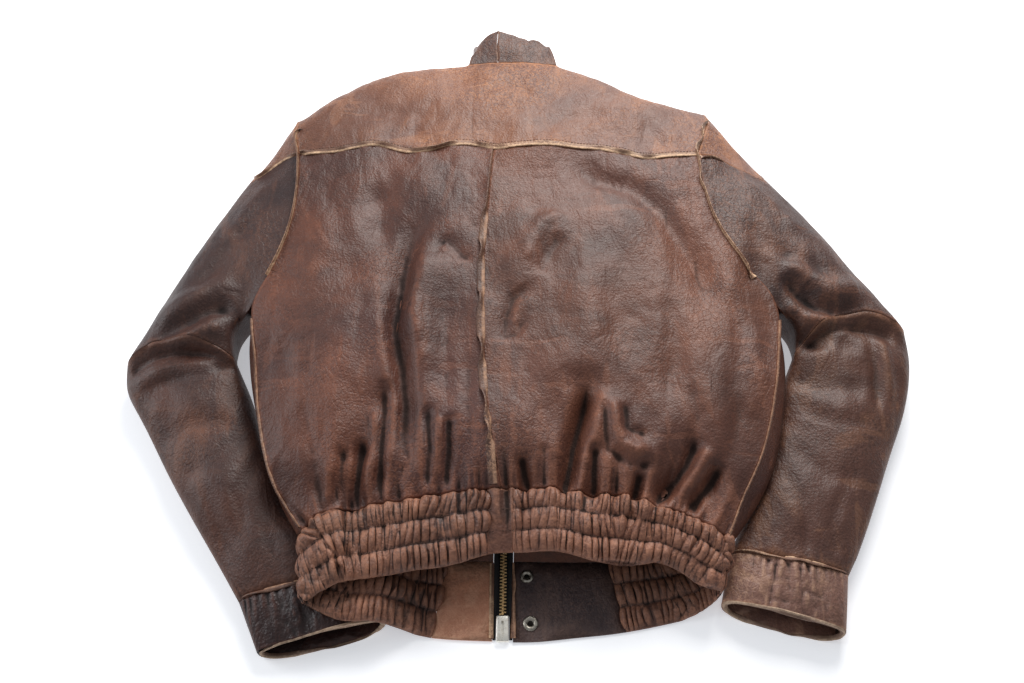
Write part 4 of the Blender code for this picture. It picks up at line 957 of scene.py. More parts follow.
class Seamstress:
    """Sews trims and thread onto the finished leather, none of it below the ground."""

    GROUND = 0.0002
    # How far above a place its leather is looked for, and how far down from there
    ABOVE = 0.006
    DOWN = 0.014
    # How deep a strip's edges go into the leather
    SINK = 0.0007
    # Half the thickness of the thread
    THREAD = 0.00036
    # Wear of a strip at its folded edge, which ends at this share of its width, and elsewhere
    FOLDED = 0.95
    EDGE = -0.24
    PLAIN = 0.22

    def stances(self, line: Array, onto: Sequence[Sheet], aside: float, closed: bool = False,
                reach: float = 0.0) -> list[Stance]:
        """Places beside a seam.

        Args:
            line: even points of the seam.
            onto: the pieces that the places may lie on.
            aside: how far to the left of the seam's way they lie, in metres.
            closed: whether the seam runs round a tube.
            reach: how far to each side the leather may hold it up.

        Returns:
            One stance for each point.
        """
        ahead = np.gradient(line, axis=0)
        if closed:
            ahead[0] = ahead[-1] = line[1] - line[-2]
        ways = [Vector(way).normalized() for way in ahead]
        outs = [self._nearest(Vector(point), onto)[1] for point in line]
        middle = sum(outs, Vector())
        outs = self._averaged([o if closed or o.dot(middle) > 0 else middle.normalized() for o in outs], closed, 6)
        spots = []
        for point, along, out in zip(line, ways, outs):
            across = out.cross(along).normalized()
            spots.append(np.array(self._settled(Vector(point) + across * aside, out, across * reach, onto)))
        spots = evened(np.array(spots), 12 if reach else 3, closed)
        return [Stance(Vector(spot), along, out.cross(along).normalized(), out)
                for spot, along, out in zip(spots, ways, outs)]

    def _settled(self, place: Vector, out: Vector, beside: Vector, onto: Sequence[Sheet]) -> Vector:
        """The leather straight below a place, at the height of the highest close beside it, or nearest to it.

        Args:
            place: a place near the leather.
            out: the way out of the leather.
            beside: how far to each side it is looked for.
            onto: the pieces.

        Returns:
            The place on the leather.
        """
        tops = []
        for share in (-1, 0, 1):
            for sheet in onto:
                start = place + beside * share + out * self.ABOVE
                spot, normal, _, gap = sheet.tree.ray_cast(start, -out, self.DOWN)
                if spot is not None and normal.dot(out) > 0:
                    tops.append(self.ABOVE - gap)
        if tops:
            return place + out * max(tops)
        return self._nearest(place, onto)[0]

    def _nearest(self, place: Vector, onto: Sequence[Sheet]) -> tuple[Vector, Vector]:
        """The nearest leather to a place, and its outward direction there."""
        return min((sheet.touch(place) for sheet in onto), key=lambda hit: (hit[0] - place).length_squared)

    def strip(self, name: str, stances: Sequence[Stance], width: float, height: float, skin: Material,
              slot: str, closed: bool = False, bright_left: bool = False) -> Object:
        """A soft raised strip of leather along a seam.

        Args:
            name: the piece's name.
            stances: the middle of the strip.
            width: its width.
            height: how far it stands up.
            skin: its material.
            slot: not used.
            closed: whether it runs round a tube.
            bright_left: whether its left edge is the folded one, worn light.

        Returns:
            The piece.
        """
        section = [(-0.50, -self.SINK), (-0.50, 0.50 * height), (-0.40, height), (-0.30, height),
                   (0.00, 0.90 * height), (0.30, 0.80 * height), (0.46, 0.30 * height), (0.50, -self.SINK)]
        if bright_left:
            section = [(-side, up) for side, up in section[::-1]]
        outs = self._averaged([s.out for s in stances], closed)
        bm = swept([[self._at(stance, out, side * width, up) for side, up in section]
                    for stance, out in zip(stances, outs)], closed)
        for vert in bm.verts:
            vert.co.z = max(vert.co.z, self.GROUND)
        tree = KDTree(len(stances))
        for n, stance in enumerate(stances):
            tree.insert(stance.spot, n)
        tree.balance()
        bend = bm.verts.layers.float.new("bend")
        for vert in bm.verts:
            stance = stances[tree.find(vert.co)[1]]
            aside = (vert.co - stance.spot).dot(stance.across) / width * (-1 if bright_left else 1)
            vert[bend] = self.FOLDED if aside < self.EDGE else self.PLAIN
        return finished(name, bm, skin)

    def _averaged(self, outs: Sequence[Vector], closed: bool, reach: int = 2) -> list[Vector]:
        """Outward ways, each averaged with its neighbours."""
        even = evened(np.array([tuple(out) for out in outs]), reach, closed)
        return [Vector(out).normalized() for out in even]

    def _at(self, stance: Stance, out: Vector, aside: float, up: float) -> Vector:
        """A point beside and above a stance."""
        across = out.cross(stance.along).normalized()
        return stance.spot + across * aside + out * up

    def stitches(self, name: str, runs: Sequence[Sequence[Stance]], skin: Material, slot: str,
                 length: float = 0.0026) -> Object:
        """Rows of thread, one short capsule for each stitch.

        Args:
            name: the piece's name.
            runs: rows of stances, one for each stitch.
            skin: its material.
            slot: not used.
            length: length of a stitch.

        Returns:
            The piece.
        """
        bm = bmesh.new()
        for run in runs:
            for stance in run:
                across = stance.out.cross(stance.along).normalized()
                along = across.cross(stance.out)
                axes = (along * length / 2, across * self.THREAD, stance.out * self.THREAD)
                turn = Matrix(axes).transposed().to_4x4()
                place = Matrix.Translation(stance.spot + stance.out * self.THREAD * 0.35) @ turn
                bmesh.ops.create_uvsphere(bm, u_segments=6, v_segments=4, radius=1.0,
                                          matrix=place @ Matrix.Rotation(math.pi / 2, 4, "Y"))
        return finished(name, bm, skin)


def finished(name: str, bm: bmesh.types.BMesh, skin: Material) -> Object:
    """Turns a bmesh into a piece that rides on the garment.

    Args:
        name: the piece's name.
        bm: its shape, which is freed.
        skin: its material.

    Returns:
        The piece.
    """
    mesh = bpy.data.meshes.new(name)
    bm.to_mesh(mesh)
    bm.free()
    mesh.materials.append(skin)
    mesh.shade_smooth()
    mesh.set_sharp_from_angle(angle=math.radians(50))
    made = placed(name, mesh)
    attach(made, BODY)
    LOG.info("%s: %d faces", name, len(mesh.polygons))
    return made


@dataclass
class Trims:
    """Raised seam edges, bindings and rows of thread."""

    sheets: dict[str, Sheet]
    pieces: dict[str, list[Object]] = field(default_factory=dict, init=False)
    sewing: Seamstress = field(default_factory=Seamstress, init=False)

    # Steps of a raised edge, of its stitches and of the elastic's stitches
    STEP = 0.003
    PITCH = 0.0036
    ELASTIC_PITCH = 0.0032
    # Lowest place of a cap's edge, and of an armhole on the yoke, which starts at YOKE_Y, and below it
    CAP_LOW = 0.022
    YOKE_LOW = 0.058
    ARM_LOW = 0.036
    YOKE_Y = 0.15
    # Where an armhole and a side seam end, along the garment
    ARM_END = -0.045
    SIDE_TOP = -0.05
    # How much wider than high a cuff lies, its radius, and how far along it its mouth is
    FLATNESS = 3.5
    RADIUS = 0.05
    MOUTH = 0.034

    def build(self) -> None:
        """Sews every trim onto the leather."""
        # Colours, crest wear with painted highlight, and gloss of the folded edges, of the cuffs' mouths and of the
        # thread
        self.lip = LeatherFinish("worn_seam_edge", (134, 94, 73), (100, 68, 53), (226, 188, 152), (118, 86, 73),
                                 1.0, 0.50, scratch=0.3).build()
        self.dark_lip = LeatherFinish("dark_seam_edge", (106, 72, 56), (76, 50, 40), (190, 146, 116), (92, 66, 58),
                                      0.8, 0.46, scratch=0.3).build()
        self.binding = LeatherFinish("worn_binding", (150, 120, 98), (100, 74, 60), (204, 176, 150), (120, 92, 80),
                                     0.8, 0.6, scratch=0.2).build()
        self.thread = WovenFinish("brown_thread", (62, 40, 32), (104, 76, 60), 0.0006).build()
        self._yoke()
        self._centre_back()
        self._armholes()
        self._sides()
        self._waistband()
        self._hem()
        self._sleeves()
        self._collar()

    def _keep(self, owner: str, piece: Object) -> None:
        """Notes that a trim is sewn on a piece of leather."""
        self.pieces.setdefault(owner, []).append(piece)

    def _sew(self, name: str, owner: str, line: SeamLine, onto: Sequence[str], width: float, height: float,
             aside: float, skin: Material, slot: str, rows: Sequence[float], closed: bool = False) -> None:
        """Lays a raised edge along a seam with rows of thread beside it.

        Args:
            name: the trim's name.
            owner: the node that it is sewn on.
            line: the seam.
            onto: the nodes it may lie on.
            width: width of the raised edge.
            height: its height.
            aside: how far its middle lies to the left of the seam's way.
            skin: its material.
            slot: a material slot's name, handed to the trims, which do not use it.
            rows: how far aside each row of thread lies.
            closed: whether the seam runs round a tube.
        """
        leather = [self.sheets[one] for one in onto]
        if width:
            middle = self.sewing.stances(line.even(self.STEP), leather, aside, closed, width * 0.3)
            self._keep(owner, self.sewing.strip(name, middle[:-1] if closed else middle, width, height, skin, slot,
                                                closed, bright_left=aside < 0))
        runs = [self.sewing.stances(line.even(self.PITCH), leather, row, closed) for row in rows]
        if runs:
            self._keep(owner, self.sewing.stitches(name + "_thread", runs, self.thread, slot))

    def _yoke(self) -> None:
        """The yoke's folded edge over the back, and the caps' edges that carry it on over the sleeves."""
        back = [self.sheets["back_left"], self.sheets["back_right"], self.sheets["back_yoke"]]
        line = SeamLine.over(back, YOKE_SEAM)
        self._sew("yoke_edge", "back_yoke", line, ("back_yoke", "back_left", "back_right"), 0.0066, 0.0008, 0.0014,
                  self.lip, "yoke_leather", (0.0058,))
        for side in Side:
            cap, upper = self.sheets["sleeve_cap_" + side.value], self.sheets["sleeve_upper_" + side.value]
            line = SeamLine.between(cap, upper, lambda p: p[:, 0] * side.sign, lambda p: p[:, 2] - 3 * p[:, 1])
            low = line.points[line.points[:, 2] > self.CAP_LOW]
            self._sew("cap_edge_" + side.value, "sleeve_cap_" + side.value, SeamLine(low),
                      (cap.node, upper.node), 0.0058, 0.0009, 0.0012 * side.sign, self.lip, "yoke_leather",
                      (0.0046 * side.sign,))

    def _centre_back(self) -> None:
        """The centre-back seam, with a raised edge on its left and two rows of thread."""
        line = SeamLine.over([self.sheets["back_left"], self.sheets["back_right"]], CENTRE_SEAM)
        self._sew("centre_back_edge", "back_left", line, ("back_left", "back_right"), 0.0085, 0.0012, 0.0018,
                  self.dark_lip, "back_left_leather", (0.0048, -0.0012))

    def _armholes(self) -> None:
        """The armholes' topstitched edges, on the body's side."""
        for side in Side:
            body = [self.sheets["back_" + side.value], self.sheets["back_yoke"]]
            arm = [self.sheets["sleeve_upper_" + side.value], self.sheets["sleeve_cap_" + side.value]]
            pairs = ((body[0], arm[0]), (body[1], arm[1]), (body[1], arm[0]))
            places = np.vstack([SeamLine.between(near, far, lambda p: p[:, 1], lambda p: p[:, 2], smooth=0).points
                                for near, far in pairs])
            low = np.where(places[:, 1] > self.YOKE_Y, self.YOKE_LOW, self.ARM_LOW)
            places = places[(places[:, 2] > low) & (places[:, 1] > self.ARM_END)]
            line = SeamLine.through(places, lambda p: p[:, 1], lambda p: p[:, 2], smooth=6).part(0.10, 0.92)
            self._sew("armhole_edge_" + side.value, "back_" + side.value, line, (body[0].node, body[1].node),
                      0.0086, 0.0009, 0.0040 * side.sign, self.lip, "back_%s_leather" % side.value,
                      (0.0094 * side.sign, 0.0024 * side.sign))

    def _sides(self) -> None:
        """The side seams."""
        for side in Side:
            back, front = self.sheets["back_" + side.value], self.sheets["front_" + side.value]
            line = SeamLine.between(back, front, lambda p: p[:, 1],
                                    lambda p: p[:, 0] * side.sign + p[:, 2])
            line = SeamLine(line.points[line.points[:, 1] < self.SIDE_TOP])
            self._sew("side_edge_" + side.value, back.node, line, (back.node, front.node), 0.0034, 0.0009,
                      0.0014 * side.sign, self.dark_lip, "back_%s_leather" % side.value, (0.0036 * side.sign,))

    def _hem(self) -> None:
        """The folded edges of the band's two plain ends, beside the zip."""
        left, right = self.sheets["waistband_end_left"], self.sheets["waistband_end_right"]
        line = SeamLine.over([left], ((-0.0190, -0.254), (-0.0192, -0.3255)))
        self._sew("band_end_edge_left", left.node, line, (left.node,), 0.0044, 0.0012, 0.0, self.lip, "end_leather",
                  (0.0046,))
        line = SeamLine.over([right], ((0.0010, -0.3255), (0.0010, -0.254)))
        self._sew("band_end_edge_right", right.node, line, (right.node,), 0.0052, 0.0012, 0.0, self.dark_lip,
                  "tab_leather", (-0.0050,))

    def _waistband(self) -> None:
        """The waistband's two rows of elastic stitching."""
        band = [self.sheets["waistband_back_left"], self.sheets["waistband_back_right"],
                self.sheets["waistband_back_centre"]]
        runs = []
        for share in (1 / 3, 2 / 3):
            x = np.linspace(-0.180, 0.186, 60)
            seam, edge = np.array(BAND_SEAM), np.array(BAND_EDGE)
            y = (1 - share) * np.interp(x, *seam.T) + share * np.interp(x, *edge.T)
            line = SeamLine.over(band, tuple(zip(x, y)))
            runs.append(self.sewing.stances(line.even(self.ELASTIC_PITCH), band, 0.0))
        self._keep("waistband_back_left",
                   self.sewing.stitches("waistband_elastic_thread", runs, self.thread, "band_leather", 0.0025))

    def _sleeves(self) -> None:
        """The cuffs' piped seams and their worn bound mouths."""
        for side in Side:
            cuff = self.sheets["cuff_" + side.value]
            upper = self.sheets["sleeve_upper_" + side.value]
            under = self.sheets["sleeve_under_" + side.value]
            start, end = CUFF_AXIS[side]
            axis = np.append(np.array(end) - np.array(start), 0.0)
            axis /= np.linalg.norm(axis)
            base = np.array([*start, 0.018]) + np.array(DRAWN_ORIGIN)
            flat = np.array([-axis[1], axis[0], 0.0])

            def round_tube(places: Array) -> Array:
                """Place round the cuff, as a length."""
                local = places - base
                return np.arctan2(local[:, 2] * self.FLATNESS, local @ flat) * self.RADIUS

            def off_axis(places: Array) -> Array:
                """Distance from the cuff's axis."""
                local = places - base
                return np.hypot(local[:, 2] * self.FLATNESS, local @ flat)

            rows = [SeamLine.between(cuff, arm, round_tube, off_axis, smooth=0).points for arm in (upper, under)]
            ring = SeamLine.through(np.vstack(rows), round_tube, off_axis, closed=True, smooth=3)
            self._sew("cuff_seam_" + side.value, cuff.node, ring, (cuff.node, upper.node, under.node), 0.0048, 0.0009,
                      0.0, self.lip if side is Side.RIGHT else self.dark_lip, "cuff_leather", (), closed=True)
            mouth = cuff.points[(cuff.points - base) @ axis > self.MOUTH]
            rim = SeamLine.through(mouth, round_tube, lambda p: (p - base) @ axis + 0.02 * off_axis(p), closed=True,
                                   smooth=3)
            self._sew("cuff_binding_" + side.value, cuff.node, rim, (cuff.node,), 0.0050, 0.0012, 0.0, self.binding,
                      "cuff_leather", (), closed=True)

    def _collar(self) -> None:
        """The collar's seam at its middle."""
        left, right = self.sheets["collar_left"], self.sheets["collar_right"]
        line = SeamLine.between(left, right, lambda p: p[:, 2] + p[:, 1] * 0.4, lambda p: p[:, 1] + p[:, 2] * 0.2)
        self._sew("collar_middle_edge", "collar_left", line, (left.node, right.node), 0.0036, 0.0009, 0.0,
                  self.dark_lip, "collar_leather", ())


@dataclass
class Zip:
    """The brass chain between its woven tapes, its retainer box, and the slider under the neck."""

    pitch: float = 0.0032
    tooth: Triple = (0.0043, 0.0016, 0.0022)
    reach: float = 0.0011
    cord: tuple[float, float] = (0.0064, 0.0003)
    foot: tuple[float, float] = (-0.0088, -0.325)
    lean: float = 0.0058 / 0.60
    # How far from the bar's ends the teeth stay, how high over its underside, and how far each way its slope is read
    ends: float = 0.001
    lift: float = 0.0003
    look: float = 0.003
    # The retainer's slot: half its width, where it starts and ends along the box, and its depth
    slot: tuple[float, float, float, float] = (0.0010, -0.0045, 0.0065, 0.0022)

    def build(self, nodes: dict[str, Object]) -> None:
        """Makes the zip's pieces and dresses its hard parts.

        Args:
            nodes: the model's objects, by node.
        """
        brass = MetalFinish("antique_brass", (236, 200, 146), (150, 116, 76), 0.34).build()
        nickel = MetalFinish("bright_nickel", (246, 242, 232), (214, 206, 192), 0.30).build()
        tape = WovenFinish("black_tape", (24, 23, 25), (58, 56, 58))
        for node in ("zip_slider", "slider_bridge", "pull_tab"):
            nodes[node].data.materials.clear()
            nodes[node].data.materials.append(brass)
        skin = tape.build()
        self._chain(nodes["zip_chain"], brass, skin)
        self._box(nickel)
        for side in Side:
            cut = Cut(0.0125, 0.62, 0.0040)
            sheet = Sheet("zip_tape_" + side.value, tape, "zip_tape", cut, 1, ("front_" + side.value + "_leather",))
            sheet.build(nodes[sheet.node], Wear((), (), (), floor=0.5), skin)
            sheet.declare(())

    def _middle(self, y: float) -> float:
        """x of the zip's middle."""
        return self.foot[0] + DRAWN_ORIGIN.x + (y - DRAWN_ORIGIN.y - self.foot[1]) * self.lean

    def _chain(self, source: Object, skin: Material, cord: Material) -> None:
        """Two rows of teeth that mesh, on a woven cord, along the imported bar's own path.

        Args:
            source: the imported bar.
            skin: the teeth's metal.
            cord: the cord's cloth.
        """
        points = np.array([tuple(v.co) for v in source.data.vertices])
        levels = np.unique(np.round(points[:, 1], 5))
        low = np.array([points[np.abs(points[:, 1] - y) < 2e-5][:, 2].min() for y in levels])
        bm = bmesh.new()
        for n in range(int((levels[-1] - levels[0] - 2 * self.ends) / self.pitch)):
            for side in (-1, 1):
                y = levels[0] + self.ends + (n + (0.25 if side < 0 else 0.75)) * self.pitch
                before, here, after = np.interp((y - self.look, y, y + self.look), levels, low)
                place = Matrix.Translation((self._middle(y) + side * self.reach, y,
                                            float(here) + self.lift + self.tooth[2] / 2))
                turn = Matrix.Rotation(math.atan2(after - before, 2 * self.look), 4, "X")
                bmesh.ops.create_cube(bm, size=1.0, matrix=place @ turn @ Matrix.Diagonal((*self.tooth, 1.0)))
        bmesh.ops.bevel(bm, geom=bm.edges[:], offset=0.00030, segments=1, profile=0.5, affect="EDGES", material=-1)
        teeth = finished("zip_teeth", bm, skin)
        half, thick = self.cord
        rings = [[Vector((self._middle(y) + side * half, y, z + up))
                  for side, up in ((-1, 0.0), (1, 0.0), (1, thick), (-1, thick))] for y, z in zip(levels, low)]
        finished("zip_cord", swept(rings), cord)
        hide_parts("zip_chain")

    def _box(self, skin: Material) -> None:
        """The retainer box at the hem, with its slot.

        Args:
            skin: its metal.
        """
        low, high = (Vector(corner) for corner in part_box("zip_box"))
        size, middle = high - low, (low + high) / 2
        half, start, end, depth = self.slot
        bm = bmesh.new()
        bmesh.ops.create_cube(bm, size=1.0, matrix=Matrix.Translation(middle) @ Matrix.Diagonal((*size, 1.0)))
        bmesh.ops.bevel(bm, geom=bm.edges[:], offset=0.0011, segments=3, profile=0.5, affect="EDGES", material=-1)
        cuts = [((middle.x - half, 0, 0), (1, 0, 0)), ((middle.x + half, 0, 0), (1, 0, 0)),
                ((0, middle.y + start, 0), (0, 1, 0)), ((0, middle.y + end, 0), (0, 1, 0))]
        for place, way in cuts:
            bmesh.ops.bisect_plane(bm, geom=bm.verts[:] + bm.edges[:] + bm.faces[:], plane_co=place, plane_no=way)
        bm.normal_update()
        slot = [f for f in bm.faces if f.normal.z > 0.9 and abs(f.calc_center_median().x - middle.x) < half
                and start < f.calc_center_median().y - middle.y < end]
        deep = bmesh.ops.extrude_discrete_faces(bm, faces=slot)["faces"]
        bmesh.ops.translate(bm, verts=list({v for f in deep for v in f.verts}), vec=(0, 0, -depth))
        bmesh.ops.recalc_face_normals(bm, faces=bm.faces[:])
        made = finished("zip_retainer", bm, skin)
        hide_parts("zip_box")


@dataclass
class Snaps:
    """Two pressed ring snaps on the hem's dark end, each with its socket, painted near-black as shade."""

    # Radius and height, as shares, of the ring's outline, and of the socket: both radii, height and middle
    section: Path = (
        (0.0, 0.12), (0.34, 0.12), (0.40, 0.30), (0.46, 0.62), (0.56, 0.94), (0.70, 1.0), (0.82, 0.92), (0.92, 0.66),
        (0.985, 0.34), (1.0, 0.04), (0.98, 0.0), (0.0, 0.0))
    socket: tuple[float, float, float, float] = (0.40, 0.36, 0.10, 0.19)

    def build(self) -> None:
        """Lathes both snaps in place of their packed rings."""
        nickel = MetalFinish("snap_nickel", (186, 180, 168), (84, 76, 66), 0.26).build()
        # Near-black metal: painted shade inside each ring's socket
        shade = MetalFinish("snap_socket_shade", (40, 37, 34), (22, 20, 19), 0.45).build()
        for node in ("snap_upper", "snap_lower"):
            low, high = (Vector(corner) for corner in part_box(node))
            foot = Vector(((low.x + high.x) / 2, (low.y + high.y) / 2, low.z))
            radius, height = (high.x - low.x) / 2, high.z - low.z
            bm = bmesh.new()
            verts = [bm.verts.new((radius * r, 0.0, height * z)) for r, z in self.section]
            edges = [bm.edges.new(pair) for pair in zip(verts, verts[1:])]
            bmesh.ops.spin(bm, geom=verts + edges, cent=(0, 0, 0), axis=(0, 0, 1), angle=2 * math.pi, steps=40,
                           use_merge=True)
            bmesh.ops.remove_doubles(bm, verts=bm.verts[:], dist=1e-6)
            bmesh.ops.recalc_face_normals(bm, faces=bm.faces[:])
            bmesh.ops.translate(bm, verts=bm.verts[:], vec=foot)
            made = finished(node + "_ring", bm, nickel)
            bm = bmesh.new()
            low_radius, high_radius, depth, middle = self.socket
            bmesh.ops.create_cone(bm, cap_ends=True, segments=28, radius1=radius * low_radius,
                                  radius2=radius * high_radius, depth=height * depth,
                                  matrix=Matrix.Translation(foot + Vector((0, 0, height * middle))))
            finished(node + "_socket", bm, shade)
            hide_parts(node)


@dataclass
class Studio:
    """A plain pale floor, soft light from behind on the right, and the photograph's camera."""

    target: Vector = DRAWN_ORIGIN
    distance: float = 1.117
    pitch: float = 57.0
    lens: float = 36.0
    floor: tuple[float, float] = (6.0, -0.0002)

    def build(self) -> None:
        """Sets up the floor, the lights and the camera."""
        board = Board("pale_floor")
        haze = board.noise(2.0, 2.0)
        skin = board.finish(Base_Color=board.mix(haze, (0.93, 0.935, 0.945), (0.95, 0.955, 0.96)), Roughness=0.9,
                            Emission_Color=(0.93, 0.95, 1.0), Emission_Strength=0.42)
        bm = bmesh.new()
        bmesh.ops.create_grid(bm, x_segments=1, y_segments=1, size=self.floor[0],
                              matrix=Matrix.Translation((0, 0, self.floor[1])))
        mesh = bpy.data.meshes.new("studio_floor")
        bm.to_mesh(mesh)
        bm.free()
        mesh.materials.append(skin)
        placed("studio_floor", mesh)
        self._world()
        self._lamp("key", (0.35, 1.25, 1.05), 0.9, 34.0, (1.0, 0.985, 0.96))
        self._lamp("side", (-1.55, 0.25, 0.85), 0.8, 13.0, (0.95, 0.97, 1.0))
        bpy.context.scene.view_settings.view_transform = "Standard"
        self._camera()

    def _world(self) -> None:
        """A soft white surround."""
        world = bpy.data.worlds.new("surround")
        world.use_nodes = True
        back = world.node_tree.nodes["Background"]
        back.inputs["Color"].default_value = (0.93, 0.96, 1.0, 1.0)
        back.inputs["Strength"].default_value = 0.34
        bpy.context.scene.world = world

    def _lamp(self, name: str, place: Triple, size: float, power: float, colour: Triple) -> None:
        """A square lamp that looks at the garment.

        Args:
            name: its name.
            place: where it stands.
            size: its width.
            power: its watts.
            colour: its colour.
        """
        light = bpy.data.lights.new(name, "AREA")
        light.size = size
        light.energy = power
        light.color = colour
        lamp = placed(name, light)
        lamp.location = place
        lamp.rotation_euler = (self.target - Vector(place)).to_track_quat("-Z", "Y").to_euler()

    def _camera(self) -> None:
        """The camera, which looks down from the hem's side."""
        lens = bpy.data.cameras.new("photo_camera")
        lens.sensor_width = 36.0
        lens.lens = self.lens
        camera = placed("photo_camera", lens)
        down = math.radians(self.pitch)
        camera.location = self.target + Vector((0, -math.cos(down), math.sin(down))) * self.distance
        camera.rotation_euler = (math.radians(90 - self.pitch), 0, 0)
        bpy.context.scene.camera = camera


# Where each cuff starts and ends along the middle of the arm, as drawn from above
CUFF_AXIS = {Side.LEFT: path(-194, -281, -172, -327), Side.RIGHT: path(260, -261, 248, -311)}

# Seams of the garment, as drawn from above
CENTRE_SEAM = path(-16, -203, -19, -162, -25, -119, -29, -62, -31, 0, -31, 64, -27, 133, -22, 207)
YOKE_SEAM = path(-244, 207, -206, 206, -184, 210, -160, 217, -139, 214, -121, 206, -99, 207, -71, 216, -37, 219,
                 -19, 212, 32, 215, 100, 213, 128, 205, 156, 199, 211, 204)
BAND_SEAM = path(-196, -240, -185, -228, -160, -220, -132, -217, -109, -214, -76, -208, -53, -205, -21, -203,
                 17, -201, 45, -201, 73, -205, 105, -208, 128, -215, 155, -222, 180, -232, 203, -246)
BAND_EDGE = path(-190, -310, -180, -303, -155, -289, -126, -284, -95, -278, -53, -272, -17, -262, 16, -260, 46, -261,
                 75, -269, 119, -271, 133, -268, 152, -275, 172, -288, 195, -292)
FRONT_BAND_SEAM = path(-200, -240, -150, -246, -80, -250, 0, -252, 90, -252, 150, -246, 205, -238)
FRONT_BAND_EDGE = path(-188, -303, -176, -311, -155, -318, -128, -318, -105, -320, -74, -325, -20, -328, 18, -329,
                       59, -325, 97, -321, 140, -313, 165, -307, 184, -300, 196, -288)

# Folds, given one by one: how high and half as wide each is in tenths of a millimetre, then its path
BACK_FOLDS = folds(
    (-95, 100, -105, 107, -117, -10, -120, -23, -107, -86, -103, -117, -103, -156, -96, -191),
    (40, 115, -94, 94, -104, 2, -98, -59, -90, -117, -90, -160),
    (35, 94, -132, 0, -130, -50, -120, -100, -114, -150),
    (-105, 68, -125, -90, -122, -139, -123, -175, -125, -210),
    (42, 80, -133, -120, -134, -170, -139, -215),
    (-95, 66, -141, -150, -146, -195, -149, -228),
    (-60, 60, -160, -160, -164, -200, -168, -226),
    (-32, 137, -150, 161, -137, 80, -122, 10),
    (-26, 62, -83, 72, -69, 77, -53, 57, -42, 49),
    (16, 80, -78, 60, -66, 64, -50, 42),
    (-28, 69, -205, -110, -190, -165, -178, -215),
    (24, 88, -178, -94, -168, -155, -166, -205),
    (-24, 88, -234, -36, -218, -110, -202, -175),
    (-19, 100, -215, 170, -190, 120, -178, 60),
    (-22, 88, -74, 2, -66, -71, -58, -139),
    (-60, 60, -82, -120, -78, -165, -80, -206),
    (-56, 58, -60, -130, -60, -170, -62, -204),
    (17, 63, -70, -130, -68, -200),
    (-28, 69, -42, -59, -43, -117, -37, -190),
    (-45, 128, 64, 205, 95, 170, 137, 155, 162, 122, 200, 44, 206, -23),
    (34, 92, 17, 44, 19, 73, 30, 101, 47, 110, 64, 108),
    (-28, 90, 52, 86, 38, 62, 28, 30),
    (-28, 52, 23, 22, 1, 3, -6, -23, -6, -42, 4, -40, 10, -26, 7, -6),
    (16, 62, 20, 6, 6, -12, 0, -28),
    (-125, 78, 76, -100, 66, -133, 58, -158, 49, -212),
    (48, 90, 90, -100, 80, -140, 68, -185),
    (28, 88, 62, -100, 52, -135, 40, -180),
    (-66, 56, 9, -170, 13, -190, 17, -206),
    (-28, 55, 30, -160, 31, -205),
    (-80, 62, 79, -158, 77, -190, 76, -212),
    (45, 70, 99, -112, 99, -144, 103, -164, 118, -170, 138, -166),
    (-37, 52, 109, -118, 110, -146, 132, -154),
    (-39, 55, 89, -115, 91, -166, 112, -182, 140, -180),
    (-98, 70, 180, -150, 166, -178, 148, -200, 134, -216),
    (30, 69, 188, -162, 172, -190, 152, -212),
    (-78, 62, 200, -176, 182, -200, 164, -222),
    (-26, 75, 173, -96, 180, -130, 168, -165),
    (-64, 56, 119, -186, 112, -214),
    (-28, 88, 224, -105, 208, -160, 182, -212),
    (-19, 100, 110, 120, 140, 80, 152, 20),
    (-24, 100, 160, 10, 166, -60, 150, -120),
    (-26, 88, 230, 20, 228, -60, 212, -120),
    (19, 81, 246, -20, 246, -80, 230, -140),
)
YOKE_FOLDS = folds(
    (-17, 112, -230, 260, -150, 275, -70, 262),
    (-19, 88, -120, 215, -110, 250, -90, 300),
    (-19, 100, 30, 225, 60, 262, 120, 270),
    (-22, 100, 180, 210, 160, 250, 150, 300),
    (-17, 75, -40, 300, -10, 322, 30, 302),
)
SLEEVE_FOLDS = folds(
    (-81, 101, -372, -36, -345, -18, -318, 0, -289, 10),
    (43, 125, -376, -10, -345, 10, -315, 28, -288, 36),
    (43, 94, -384, -62, -350, -40, -318, -24, -290, -16),
    (-63, 81, -384, -90, -350, -72, -315, -62, -280, -52),
    (24, 88, -370, -112, -330, -98, -285, -90),
    (-37, 63, -352, -140, -315, -122, -272, -120),
    (-28, 63, -262, -130, -290, -165, -325, -175),
    (-30, 60, -246, -150, -262, -200, -250, -245),
    (-26, 60, -300, -180, -280, -220, -262, -262),
    (-26, 52, -212, -200, -226, -240, -214, -276),
    (-32, 100, -286, 120, -315, 60, -345, 20),
    (24, 100, -276, 170, -300, 120, -318, 80),
    (-92, 97, 286, 46, 301, 26, 320, 9, 340, 3, 372, 10),
    (48, 135, 290, 66, 315, 42, 345, 30, 385, 36),
    (48, 95, 282, 12, 306, -6, 334, -12, 360, -10),
    (-54, 81, 288, -20, 320, -34, 365, -34),
    (37, 63, 383, -20, 386, -52, 382, -100),
    (-37, 52, 372, -22, 374, -60, 366, -110),
    (-35, 69, 282, -64, 315, -82, 360, -86),
    (-28, 63, 285, -100, 325, -122, 368, -120),
    (-28, 63, 272, -140, 304, -175, 345, -182),
    (-28, 56, 262, -165, 280, -215, 274, -258),
    (-24, 56, 318, -190, 300, -232, 302, -262),
    (-32, 100, 246, 114, 280, 79, 310, 63, 357, 40),
    (24, 88, 260, 180, 290, 140, 315, 100),
)


